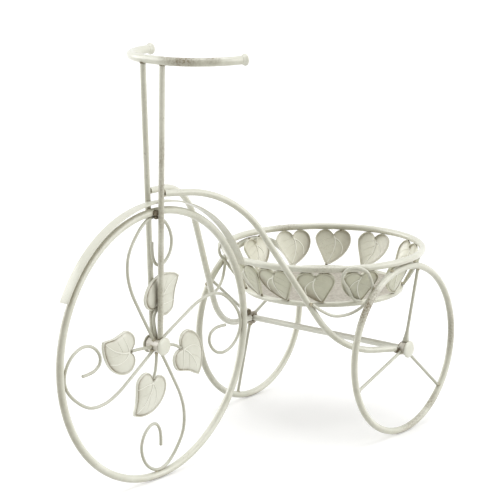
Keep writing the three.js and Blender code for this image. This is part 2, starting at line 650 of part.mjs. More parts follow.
function addBrace(side) {
  const steep = frameCorner(2, side).sub(frameCorner(1, side)).normalize();
  const beside = ((FRAME_TUBE + WIRE_DIAMETER) / 2 + SEAT_GAP) / Math.sqrt(1 - steep.y ** 2);
  const start = frameStretchPoint(1, BRACE_START, side);
  start.y += side * beside;
  const rimPoint = spokePoint(REAR_RIM_RADIUS, BRACE_RIM_ANGLE);
  const contact = rimPoint.clone().add(rearAxle);
  contact.y = side * (TRACK / 2 - (REAR_RIM_TUBE + WIRE_DIAMETER) / 2 - SEAT_GAP);

  const points = [start];
  for (const [share, depth] of BRACE_BELLY) {
    points.push(start.clone().lerp(contact, share).addScaledVector(UP, -BRACE_SAG * depth));
  }
  points.push(contact);
  const contactAngle = Math.atan2(Math.abs(contact.y), contact.x - basketX);
  const upright = basketTopRadius + (BASKET_TOP_TUBE + WIRE_DIAMETER) / 2 + SEAT_GAP;
  const foot = basketBottomRadius + (BASKET_BOTTOM_TUBE + WIRE_DIAMETER) / 2 + SEAT_GAP;
  const lobeBulge = (basketLeaf.width / 2) ** 2 / (2 * basketTopRadius);
  for (const [turn, drop, inward] of BRACE_HOOK) {
    const sloped = upright + (foot - upright) * drop + lobeBulge * (1 - drop);
    const radius = upright + (sloped - upright) * inward;
    const point = radialPoint(radius, THREE.MathUtils.radToDeg(contactAngle) + turn, basketTop - BASKET_DEPTH * drop);
    point.y *= side;
    points.push(point);
  }
  addPiece(`scroll_brace_${sideName(side)}`, barGeometry(smoothCurve(points), WIRE_DIAMETER, WIRE_SIDES, 54), FINISH.paint);
}

addFrontWheel();
addFork();
addRimWelds();
addMudguard();
addHandlebar();
addAxle();
addBasket();
for (const side of [1, -1]) {
  addFrameTube(side);
  addRearWheel(side);
  addBrace(side);
}

export default group;
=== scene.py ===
import logging
import math
import random
from dataclasses import dataclass, field, replace
from enum import Enum
from functools import partialmethod
from typing import Any, Callable, Mapping, Sequence

import bpy
from mathutils import Matrix, Vector


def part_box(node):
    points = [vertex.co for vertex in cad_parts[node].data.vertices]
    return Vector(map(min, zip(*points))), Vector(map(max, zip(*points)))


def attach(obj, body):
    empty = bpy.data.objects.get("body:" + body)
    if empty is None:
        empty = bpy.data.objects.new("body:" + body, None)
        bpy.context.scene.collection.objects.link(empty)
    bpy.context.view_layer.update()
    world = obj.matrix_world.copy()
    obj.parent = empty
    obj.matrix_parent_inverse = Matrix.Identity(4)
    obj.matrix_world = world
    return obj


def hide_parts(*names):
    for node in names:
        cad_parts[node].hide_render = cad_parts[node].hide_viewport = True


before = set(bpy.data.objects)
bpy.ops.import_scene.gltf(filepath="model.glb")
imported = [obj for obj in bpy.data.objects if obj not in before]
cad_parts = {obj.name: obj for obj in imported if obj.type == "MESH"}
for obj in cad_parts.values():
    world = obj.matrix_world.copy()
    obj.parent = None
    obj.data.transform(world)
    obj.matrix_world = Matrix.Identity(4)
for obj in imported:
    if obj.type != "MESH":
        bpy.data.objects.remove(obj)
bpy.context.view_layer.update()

# Points are in metres. Other sizes are in millimetres and angles in degrees, counted from the
# forward direction: up from it in a wheel, round from it about the basket.

LOG = logging.getLogger("plant_stand")
MM = 0.001
UP = Vector((0.0, 0.0, 1.0))
TOUCH = 0.01 * MM
# How far a round ring is drawn in so that it stays within its faceted box, as a share of its tube.
FACET_PLAY = 0.061
Piece = bpy.types.Object
Colour = tuple[float, float, float]
Direction = tuple[float, float, float]
Route = tuple[tuple[float, float], ...]


def clamp(number: float) -> float:
    """Return a number held between 0 and 1."""
    return min(max(number, 0.0), 1.0)


def mm(x: float, y: float, z: float) -> Vector:
    """Return a vector given in millimetres."""
    return Vector((x * MM, y * MM, z * MM))


# ---- Shader maths ------------------------------------------------------------------------------


class Value:
    """An output socket of a shader tree that takes part in Python expressions."""

    def __init__(self, shader: "Shader", socket: bpy.types.NodeSocket | None) -> None:
        """Keep the socket and the shader it belongs to."""
        self.shader, self.socket = shader, socket

    def _join(self, operation: str, other: Any, swapped: bool = False) -> "Value":
        """Return what a Math node makes of this value and another, or of the two swapped."""
        first, second = (other, self) if swapped else (self, other)
        return self.shader.node("ShaderNodeMath", {0: first, 1: second}, operation=operation)

    __add__ = __radd__ = partialmethod(_join, "ADD")
    __sub__ = partialmethod(_join, "SUBTRACT")
    __rsub__ = partialmethod(_join, "SUBTRACT", swapped=True)
    __mul__ = __rmul__ = partialmethod(_join, "MULTIPLY")
    __pow__ = partialmethod(_join, "POWER")
    larger = partialmethod(_join, "MAXIMUM")

    def between(self, low: float, high: float) -> "Value":
        """Return 0 below low and 1 above high, with a straight climb between them."""
        sockets = {"Value": self, "From Min": low, "From Max": high}
        return self.shader.node("ShaderNodeMapRange", sockets, clamp=True)


class Shader:
    """The node tree of a material or of the world."""

    def __init__(self, owner: bpy.types.Material | bpy.types.World) -> None:
        """Start with an empty tree.

        Args:
            owner: What the tree belongs to.
        """
        owner.use_nodes = True
        self.owner = owner
        self.tree = owner.node_tree
        self.tree.nodes.clear()

    def node(
        self, kind: str, sockets: Mapping[str | int, Any], output: str | int = 0, **settings: Any
    ) -> Value:
        """Add a node.

        Args:
            kind: The node's type.
            sockets: A value or a link for each input that is set.
            output: The output that is wanted.
            **settings: The node's own settings, which are set first.

        Returns:
            The chosen output, or an empty value where the node has none.
        """
        made = self.tree.nodes.new(kind)
        for key, setting in settings.items():
            setattr(made, key, setting)
        for key, value in sockets.items():
            into = made.inputs[key]
            if isinstance(value, Value):
                self.tree.links.new(value.socket, into)
            else:
                into.default_value = (*value, 1.0) if into.type == "RGBA" else value
        return Value(self, made.outputs[output] if made.outputs else None)

    def mix(self, share: Any, first: Any, second: Any) -> Value:
        """Return two colours mixed, with a share of the second."""
        return self.node("ShaderNodeMix", {0: share, 6: first, 7: second}, 2, data_type="RGBA")

    def vector(self, operation: str, first: Any, second: Any) -> Value:
        """Return the number that a Vector Math node makes of two vectors."""
        return self.node("ShaderNodeVectorMath", {0: first, 1: second}, "Value", operation=operation)

    def places(self) -> Value:
        """Return the place on the object, in metres."""
        return self.node("ShaderNodeTexCoord", {}, "Object")

    def noise(self, per_metre: float, detail: float = 2.0, twist: float = 0.0) -> Value:
        """Return a noise from 0 to 1 with so many patches to a metre."""
        sockets = {"Vector": self.places(), "Scale": per_metre, "Detail": detail, "Distortion": twist}
        return self.node("ShaderNodeTexNoise", sockets, "Fac")

    def corners(self, reach: float) -> Value:
        """Return how shut in a point is by what lies within a reach, from 0 to 1."""
        return 1.0 - self.node("ShaderNodeAmbientOcclusion", {"Distance": reach * MM}, "AO", samples=8)

    def bump(self, height: Value, strength: float, depth: float) -> Value:
        """Return the normal of a surface with a fine relief."""
        sockets = {"Height": height, "Strength": strength, "Distance": depth * MM}
        return self.node("ShaderNodeBump", sockets, "Normal")

    def looked_at(self) -> Value:
        """Return 1 for rays from the camera, mirrors and glass, and 0 for others."""
        kinds = ("Is Camera Ray", "Is Glossy Ray", "Is Transmission Ray")
        camera, mirror, glass = (self.node("ShaderNodeLightPath", {}, kind) for kind in kinds)
        return camera.larger(mirror).larger(glass)

    def finish(self, surface: Value) -> Any:
        """Send a surface to the tree's output.

        Args:
            surface: The surface's shader.

        Returns:
            The material or world that the tree belongs to.
        """
        place = "World" if isinstance(self.owner, bpy.types.World) else "Material"
        self.node(f"ShaderNodeOutput{place}", {"Surface": surface})
        return self.owner


# ---- Finishes ------------------------------------------------------------------------------------


class Slot(Enum):
    """The record's material slots."""

    PAINT = "paint"
    CAP_PAINT = "cap_paint"
    WELD = "weld"
    TRAY = "tray"


@dataclass(frozen=True)
class Stain:
    """A dark patch on the paint, with its middle and reach in metres: brown wear, and on the far fork leg
    and one basket leaf painted shade.
    """

    middle: tuple[float, ...]
    reach: float
    depth: float


@dataclass(frozen=True)
class Finish:
    """What every finish has: a name and the record's slot that it belongs to."""

    name: str
    slot: Slot = Slot.PAINT

    def surface(self, shader: Shader) -> dict[str, Any]:
        """Return the values and links of the surface's sockets."""
        raise NotImplementedError

    def material(self) -> bpy.types.Material:
        """Return the finish as a material."""
        shader = Shader(bpy.data.materials.new(self.name))
        return shader.finish(shader.node("ShaderNodeBsdfPrincipled", self.surface(shader)))


@dataclass(frozen=True)
class IvoryPaint(Finish):
    """Antique ivory paint: brown wash and painted shade darken its corners, and painted shade lies on the
    side of round pieces that faces the camera.
    """

    cream: Colour = (0.74, 0.74, 0.645)
    shade: Colour = (0.62, 0.615, 0.51)  # what the cream drifts to
    # The brown of the wash, the specks and the dark patches, and of the painted shade in corners.
    wash: Colour = (0.15, 0.108, 0.045)
    film: Colour = (0.335, 0.32, 0.215)  # painted shade on the side of a round piece that faces the camera and a little downward
    bared: Colour = (0.88, 0.875, 0.79)  # painted highlight on the tops of raised veins
    # How far the corners darken, with brown wash and painted shade.
    wash_depth: float = 0.75
    streak: float = 0.5  # how strong that painted shade is
    streak_side: Direction = (0.75, 0.61, -0.25)  # the direction that the painted-shade side faces, towards the camera
    speckle: float = 0.5
    roughness: float = 0.23  # at its lowest
    toned: bool = False  # whether the piece's own wash attribute is read, with its painted shade and painted highlight
    stains: tuple[Stain, ...] = ()

    def surface(self, shader: Shader) -> dict[str, Any]:
        """Mix the paint.

        Args:
            shader: The tree that the nodes go into.

        Returns:
            The values and links of the surface's sockets.
        """
        drift = shader.noise(16.0, 3.0).between(0.35, 0.68)
        brush = shader.noise(130.0, 4.0, 0.6)
        patches = shader.noise(34.0, 3.0).between(0.5, 0.68)
        specks = shader.noise(700.0).between(0.62, 0.72) * patches * self.speckle
        # Ambient occlusion darkens the corners: painted shade, together with the brown wash that collects
        # there.
        corner = shader.corners(4.5) ** 1.15 * (brush * 0.8 + 0.75)
        # Painted shade on the side of round pieces that faces the camera, broken up by the brush noise.
        normal = shader.node("ShaderNodeNewGeometry", {}, "Normal")
        facing = shader.vector("DOT_PRODUCT", normal, self.streak_side)
        streak = facing.between(0.35, 1.0) * (brush * 0.9 + 0.45) * self.streak
        body = shader.mix(drift * 0.7 + brush * 0.3, self.cream, self.shade)
        body = shader.mix(streak.between(0.0, 1.0), body, self.film)
        if self.toned:
            # The piece's wash attribute adds wash and painted shade; below 0 it clears the corners and
            # lays on a painted highlight.
            held = shader.node("ShaderNodeAttribute", {}, "Fac", attribute_name="wash")
            corner = corner.larger(held * (brush * 0.7 + 0.45)) * (held + 1.0).between(0.2, 1.0)
            body = shader.mix((0.0 - held).between(0.0, 1.0), body, self.bared)
        # What darkens the paint: wash and painted shade in the corners, specks, and the dark patches.
        darkened = (corner * self.wash_depth).larger(specks)
        grain = shader.noise(420.0, 3.0).between(0.42, 0.66) * 0.6 + 0.4
        for dark_patch in self.stains:
            away = shader.vector("DISTANCE", shader.places(), dark_patch.middle)
            near = 1.0 - away.between(dark_patch.reach * 0.35, dark_patch.reach)
            darkened = darkened.larger(near * dark_patch.depth * grain)
        return {
            "Base Color": shader.mix(darkened.between(0.0, 1.0), body, self.wash),
            "Roughness": brush * 0.22 + darkened * 0.2 + self.roughness,
            "Coat Weight": 0.5,
            "Coat Roughness": 0.16,
            "Normal": shader.bump(shader.noise(900.0) * 0.35 + brush * 0.65, 0.22, 0.5),
        }


@dataclass(frozen=True)
class WeldMetal(Finish):
    """Weld under thin paint: brown metal with a little ivory on top."""

    slot: Slot = Slot.WELD
    metal: Colour = (0.12, 0.095, 0.055)
    # The thin ivory paint over the metal.
    film: Colour = (0.47, 0.43, 0.31)
    cover: float = 0.5  # how much of the metal the paint covers

    def surface(self, shader: Shader) -> dict[str, Any]:
        """Mix the weld.

        Args:
            shader: The tree that the nodes go into.

        Returns:
            The values and links of the surface's sockets.
        """
        grain = shader.noise(600.0, 3.0)
        covered = grain.between(0.62 - self.cover * 0.4, 0.78 - self.cover * 0.4)
        return {
            "Base Color": shader.mix(covered, self.metal, self.film),
            "Roughness": grain * 0.3 + 0.45,
            "Normal": shader.bump(grain, 0.5, 0.5),
        }


@dataclass(frozen=True)
class TraySheet(Finish):
    """The tray's mottled sheet."""

    slot: Slot = Slot.TRAY
    light: Colour = (0.56, 0.53, 0.46)
    dark: Colour = (0.27, 0.24, 0.19)

    def surface(self, shader: Shader) -> dict[str, Any]:
        """Mix the sheet's colours.

        Args:
            shader: The tree that the nodes go into.

        Returns:
            The values and links of the surface's sockets.
        """
        mottle = shader.noise(260.0, 5.0, 0.4)
        clouds = shader.noise(40.0, 3.0)
        # The mottle and clouds are the sheet's own; ambient occlusion adds painted shade in its corners.
        dark_share = mottle.between(0.36, 0.66) * 0.6 + clouds * 0.3 + shader.corners(6.0) * 0.5
        return {
            "Base Color": shader.mix(dark_share.between(0.0, 1.2), self.light, self.dark),
            "Roughness": mottle * 0.3 + 0.4,
            "Normal": shader.bump(mottle, 0.45, 0.6),
        }


def wear(origin: Sequence[float], *spots: tuple[float, float, float, float, float]) -> tuple[Stain, ...]:
    """Return dark patches, each given by its distances from an origin, its reach and its depth."""
    return tuple(Stain(tuple(a + b for a, b in zip(origin, spot)), *spot[3:]) for spot in spots)


def mix_finishes(hub: Vector, rear: Vector, basket: Vector) -> dict[str, tuple[bpy.types.Material, Slot]]:
    """Mix every finish.

    Args:
        hub: The front wheel's middle, which the worn places are measured from.
        rear: The left rear wheel's middle, for the same.
        basket: The middle of the basket's top ring, for the same.

    Returns:
        The material and slot of each finish, by name.
    """
    under_bar = (hub.x, hub.y, 0.0)
    bar_wear = wear(
        under_bar, (-0.009, 0.04, 0.505, 0.027, 1.0), (-0.004, 0.022, 0.505, 0.014, 0.9),
        (-0.024, 0.068, 0.507, 0.014, 0.8),
    )
    rim_wear = wear(
        rear, (0.066, -0.003, 0.083, 0.02, 0.6), (0.082, -0.004, 0.066, 0.03, 1.0),
        (-0.106, 0.003, 0.0, 0.035, 0.5), (-0.02, 0.0, -0.1, 0.034, 0.55), (-0.06, 0.0, -0.086, 0.02, 0.6),
    )
    ring_wear = wear(basket, (-0.06, -0.112, 0.006, 0.026, 0.5), (0.101, 0.079, -0.004, 0.03, 0.35))
    # Brown streaks down the near leg; the two patches on the far leg, at negative y, are painted shade.
    leg_wear_and_shade = wear(
        hub, (0.0, 0.02, 0.045, 0.05, 0.45),
        *((0.0, 0.026, up, 0.032, 0.6) for up in (0.06, 0.1, 0.15, 0.19, 0.225)),
        (0.0, -0.03, 0.17, 0.03, 0.45), (-0.003, -0.02, 0.045, 0.04, 0.55),
    )
    # Painted shade on the basket leaf at about 119 degrees.
    leaf_shade = wear(basket, (-0.055, 0.1, -0.03, 0.034, 0.6))
    rim = IvoryPaint("ivory_front_rim_paint", speckle=0.7, toned=True)
    leaf = IvoryPaint("ivory_leaf_paint", wash_depth=0.9, streak=0.15, toned=True)
    wire = IvoryPaint(
        "ivory_wire_paint", cream=(0.6, 0.6, 0.515), shade=(0.44, 0.435, 0.345), speckle=0.6,
        wash_depth=0.6,
    )
    pale = IvoryPaint("ivory_axle_paint", cream=(0.82, 0.82, 0.74), shade=(0.7, 0.7, 0.6), streak=0.2)
    mixed = (
        IvoryPaint("ivory_paint"),
        rim,
        replace(rim, name="ivory_rim_paint", stains=rim_wear),
        pale,
        replace(
            pale, name="ivory_hub_paint", cream=(0.84, 0.81, 0.74), shade=(0.7, 0.67, 0.58), speckle=0.9,
            wash_depth=0.95, toned=True,
        ),
        wire,
        replace(
            wire, name="ivory_brace_paint", cream=(0.7, 0.7, 0.61), shade=(0.54, 0.535, 0.44),
            wash_depth=0.65,
        ),
        IvoryPaint("ivory_leg_paint", speckle=0.8, stains=leg_wear_and_shade),
        IvoryPaint("ivory_bar_paint", speckle=0.6, stains=bar_wear),
        IvoryPaint("ivory_frame_paint", speckle=0.7),
        IvoryPaint("ivory_ring_paint", speckle=0.7, streak=0.4, stains=ring_wear),
        IvoryPaint("ivory_cap_paint", Slot.CAP_PAINT, streak=0.1),
        leaf,
        # A lighter copy of the leaf paint for the lit side of the basket and a darker one for the rest:
        # painted light and painted shade.
        replace(leaf, name="ivory_light_leaf_paint", cream=(0.82, 0.815, 0.69), shade=(0.7, 0.69, 0.56)),
        replace(
            leaf, name="ivory_dull_leaf_paint", cream=(0.66, 0.66, 0.52), shade=(0.54, 0.54, 0.41),
            stains=leaf_shade,
        ),
        WeldMetal("dark_weld", cover=0.15),
        WeldMetal("brown_weld", cover=0.4),
        WeldMetal("painted_weld", cover=0.75),
        TraySheet("mottled_tray"),
    )
    return {finish.name: (finish.material(), finish.slot) for finish in mixed}


# ---- Modelling bench -----------------------------------------------------------------------------


class Bench:
    """Modelling by hand: each tool starts with nothing selected and leaves one active object."""

    @staticmethod
    def clear() -> None:
        """Leave edit mode and deselect everything."""
        if bpy.context.object and bpy.context.object.mode != "OBJECT":
            bpy.ops.object.mode_set(mode="OBJECT")
        bpy.ops.object.select_all(action="DESELECT")

    @staticmethod
    def take(thing: Piece) -> None:
        """Select one object alone and make it active."""
        Bench.clear()
        thing.select_set(True)
        bpy.context.view_layer.objects.active = thing

    @staticmethod
    def edit(thing: Piece, action: str = "SELECT") -> None:
        """Open an object for editing.

        Args:
            thing: The object.
            action: What is done to the selection of its vertices.
        """
        Bench.take(thing)
        bpy.ops.object.mode_set(mode="EDIT")
        bpy.ops.mesh.select_mode(type="VERT")
        bpy.ops.mesh.select_all(action=action)

    @staticmethod
    def close() -> Piece:
        """Leave edit mode and return the active object."""
        bpy.ops.object.mode_set(mode="OBJECT")
        return bpy.context.object

    @staticmethod
    def pick(thing: Piece, chosen: Callable[[bpy.types.MeshVertex], bool]) -> None:
        """Open an object for editing with the chosen vertices selected.

        Args:
            thing: The object.
            chosen: Whether a vertex is selected.
        """
        Bench.edit(thing, "DESELECT")
        Bench.close()
        for vertex in thing.data.vertices:
            vertex.select = chosen(vertex)
        bpy.ops.object.mode_set(mode="EDIT")

    @staticmethod
    def chain(points: Sequence[Vector], closed: bool = False) -> Piece:
        """Draw a chain of edges by extruding one vertex from point to point.

        Args:
            points: The chain's points.
            closed: Whether an edge joins the last point to the first.

        Returns:
            The chain.
        """
        Bench.clear()
        bpy.ops.mesh.primitive_plane_add(size=1.0 * MM)
        Bench.edit(bpy.context.object)
        bpy.ops.mesh.merge(type="CENTER")
        bpy.ops.transform.translate(value=points[0])
        for start, end in zip(points, points[1:]):
            bpy.ops.mesh.extrude_region_move(TRANSFORM_OT_translate={"value": end - start})
        drawn = Bench.close()
        if closed:
            Bench.pick(drawn, lambda vertex: vertex.index in (0, len(points) - 1))
            bpy.ops.mesh.edge_face_add()
            Bench.close()
        return drawn

    @staticmethod
    def seal(thing: Piece) -> Piece:
        """Merge doubles and turn the faces outwards.

        Args:
            thing: The object.

        Returns:
            The object.
        """
        Bench.edit(thing)
        bpy.ops.mesh.remove_doubles(threshold=TOUCH)
        bpy.ops.mesh.normals_make_consistent(inside=False)
        return Bench.close()

    @staticmethod
    def smooth(thing: Piece, degrees: float = 45.0) -> Piece:
        """Shade an object smooth across its gentle edges and return it."""
        Bench.take(thing)
        bpy.ops.object.shade_smooth_by_angle(angle=math.radians(degrees))
        return thing

    @staticmethod
    def place(thing: Piece, matrix: Matrix) -> Piece:
        """Carry an object to its place and put that place into its mesh.

        Args:
            thing: The object.
            matrix: Its place.

        Returns:
            The object.
        """
        Bench.take(thing)
        thing.matrix_world = matrix
        bpy.ops.object.transform_apply(location=True, rotation=True, scale=True)
        return thing

    @staticmethod
    def stand(thing: Piece, middle: Vector, direction: Vector) -> Piece:
        """Stand a turned piece on a point.

        Args:
            thing: The piece, with its axis along Z.
            middle: The point.
            direction: Where the piece's top points.

        Returns:
            The piece.
        """
        turn = UP.rotation_difference(direction.normalized()).to_matrix().to_4x4()
        return Bench.smooth(Bench.place(thing, Matrix.Translation(middle) @ turn), 40.0)

    @staticmethod
    def apply(thing: Piece, kind: str, **settings: Any) -> None:
        """Add a modifier and apply it.

        Args:
            thing: The object.
            kind: The modifier's type.
            **settings: The modifier's settings.
        """
        Bench.take(thing)
        modifier = thing.modifiers.new(kind.title(), kind)
        for key, setting in settings.items():
            setattr(modifier, key, setting)
        bpy.ops.object.modifier_apply(modifier=modifier.name)

    @staticmethod
    def bar(points: Sequence[Vector], tube: float, rounds: int = 6, swell: Sequence[float] = ()) -> Piece:
        """Make a round bar along a path.

        Args:
            points: The path.
            tube: The bar's diameter.
            rounds: How finely the bar is rounded.
            swell: The diameter at each point, as a share, if it changes.

        Returns:
            The bar.
        """
        Bench.take(Bench.chain(points))
        bpy.ops.object.convert(target="CURVE")
        curve = bpy.context.object.data
        curve.dimensions = "3D"
        curve.bevel_depth = tube / 2 * MM
        curve.bevel_resolution = rounds
        curve.use_fill_caps = True
        drawn = curve.splines[0].points
        shares = list(swell)
        if shares and (drawn[0].co.to_3d() - points[0]).length > TOUCH:
            shares.reverse()
        for point, share in zip(drawn, shares):
            point.radius = share
        bpy.ops.object.convert(target="MESH")
        return Bench.seal(bpy.context.object)

    @staticmethod
    def bend(marks: Sequence[Vector], tube: float, steps: int = 8) -> Piece:
        """Bend a rod smoothly through its marks."""
        return Bench.smooth(Bench.bar(smooth_path(marks, steps), tube), 50.0)

    @staticmethod
    def turned(profile: Route, steps: int = 56) -> Piece:
        """Spin a profile about the Z axis.

        Args:
            profile: Radius and height of each point, starting and ending on the axis.
            steps: How many steps the full turn has.

        Returns:
            The turned piece.
        """
        Bench.edit(Bench.chain([mm(radius, 0.0, height) for radius, height in profile]))
        bpy.ops.mesh.spin(steps=steps, angle=2 * math.pi, center=(0, 0, 0), axis=(0, 0, 1))
        return Bench.seal(Bench.close())

    @staticmethod
    def tone(thing: Piece, tones: Sequence[float]) -> Piece:
        """Note each vertex's wash and painted shade, up to 1, or below 0 the strength of its painted
        highlight, and return the object.
        """
        thing.data.attributes.new("wash", "FLOAT", "POINT").data.foreach_set("value", tones)
        return thing

    @staticmethod
    def join(things: Sequence[Piece]) -> Piece:
        """Join objects into one.

        Args:
            things: The objects.

        Returns:
            The first of them, which holds the others.
        """
        Bench.take(things[0])
        for thing in things:
            thing.select_set(True)
        if len(things) > 1:
            bpy.ops.object.join()
        return things[0]

    @staticmethod
    def copy(thing: Piece) -> Piece:
        """Copy an object with a mesh of its own."""
        Bench.take(thing)
        bpy.ops.object.duplicate(linked=False)
        return bpy.context.object

    @staticmethod
    def discard(thing: Piece) -> None:
        """Take a pattern off the bench for good."""
        Bench.take(thing)
        bpy.ops.object.delete()

    @staticmethod
    def ring(radius: float, tube: float, middle: Vector, upright: bool = False) -> Piece:
        """Bend a tube into a ring, with the slight flat of its closing seam.

        Args:
            radius: Radius to the middle of the tube.
            tube: The tube's diameter.
            middle: The ring's middle.
            upright: Whether the ring stands in the plane of the wheels.

        Returns:
            The ring.
        """
        Bench.clear()
        bpy.ops.mesh.primitive_torus_add(
            major_radius=(radius - FACET_PLAY * tube) * MM,
            minor_radius=tube / 2 * MM,
            major_segments=160,
            minor_segments=20,
            location=(0, 0, 0),
        )
        made = bpy.context.object
        behind, beside = -(radius - tube) * MM, tube * 0.35 * MM
        Bench.pick(made, lambda vertex: vertex.co.x < behind and abs(vertex.co.y) < beside)
        bpy.ops.transform.resize(value=(0.998, 1.0, 0.97), center_override=(-radius * MM, 0.0, 0.0))
        turn = Matrix.Rotation(math.radians(90.0 * upright), 4, "X")
        return Bench.smooth(Bench.place(Bench.close(), Matrix.Translation(middle) @ turn), 60.0)

    @staticmethod
    def lump(middle: Vector, size: Sequence[float], seed: int) -> Piece:
        """Model one rounded lump of weld, set a little off its place by chance.

        Args:
            middle: Its middle.
            size: Its three diameters, before it is smoothed down.
            seed: What makes it differ from the others.

        Returns:
            The lump.
        """
        Bench.clear()
        bpy.ops.mesh.primitive_ico_sphere_add(subdivisions=3, radius=0.5 * MM, location=(0, 0, 0))
        Bench.edit(bpy.context.object)
        bpy.ops.transform.resize(value=size)
        chance = random.Random(seed)
        for _ in range(5):
            direction = Vector([chance.uniform(-1, 1) for _ in range(3)]).normalized()
            push = direction * chance.uniform(-0.14, 0.2) * min(size) * MM
            bpy.ops.transform.translate(value=push)
        bpy.ops.mesh.vertices_smooth(factor=0.4, repeat=2)
        bpy.ops.transform.translate(value=middle)
        return Bench.smooth(Bench.close(), 80.0)


def smooth_path(points: Sequence[Vector], steps: int) -> list[Vector]:
    """Draw a smooth curve through points, spaced by the roots of their distances.

    Args:
        points: The points that the curve passes through.
        steps: How many pieces each stretch is cut into.

    Returns:
        The curve's points.
    """
    ends = [points[0] * 2 - points[1], *points, points[-1] * 2 - points[-2]]
    path = [points[0].copy()]
    for before, start, end, after in zip(ends, ends[1:], ends[2:], ends[3:]):
        pairs = ((before, start), (start, end), (end, after))
        first, own, last = (max((b - a).length, 1e-9) ** 0.5 for a, b in pairs)
        leave = (start - before) / first - (end - before) / (first + own) + (end - start) / own
        arrive = (end - start) / own - (after - start) / (own + last) + (after - end) / last
        leave *= own
        arrive *= own
        bend = (end - start) * 3 - leave * 2 - arrive
        drop = (start - end) * 2 + leave + arrive
        for t in (step / steps for step in range(1, steps + 1)):
            path.append(start + leave * t + bend * t**2 + drop * t**3)
    return path


def wheel_point(hub: Vector, distance: float, degrees: float) -> Vector:
    """Return a point in a wheel's plane, at a distance from its hub and an angle up."""
    angle = math.radians(degrees)
    return hub + Vector((math.cos(angle), 0.0, math.sin(angle))) * distance * MM


def middle_of(node: str) -> Vector:
    """Return the middle of a solid's box."""
    low, high = (Vector(corner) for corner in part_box(node))
    return (low + high) / 2


class Side(Enum):
    """The two sides of the stand, with the direction of each along Y."""

    LEFT = 1
    RIGHT = -1

    @property
    def word(self) -> str:
        """Return the side's name as the solids use it."""
        return self.name.lower()

    @property
    def outward(self) -> Vector:
        """Return the direction away from the stand's middle."""
        return Vector((0, self.value, 0))


# ---- The leaf ------------------------------------------------------------------------------------


HALF_HEART = (
    (0.0, 0.14), (0.08, 0.05), (0.2, 0.0), (0.35, 0.03), (0.46, 0.13), (0.5, 0.27),
    (0.47, 0.42), (0.38, 0.6), (0.23, 0.79), (0.09, 0.94), (0.0, 1.0),
)
NOTCH = HALF_HEART[0][1]
HEART_MIDDLE = 0.42


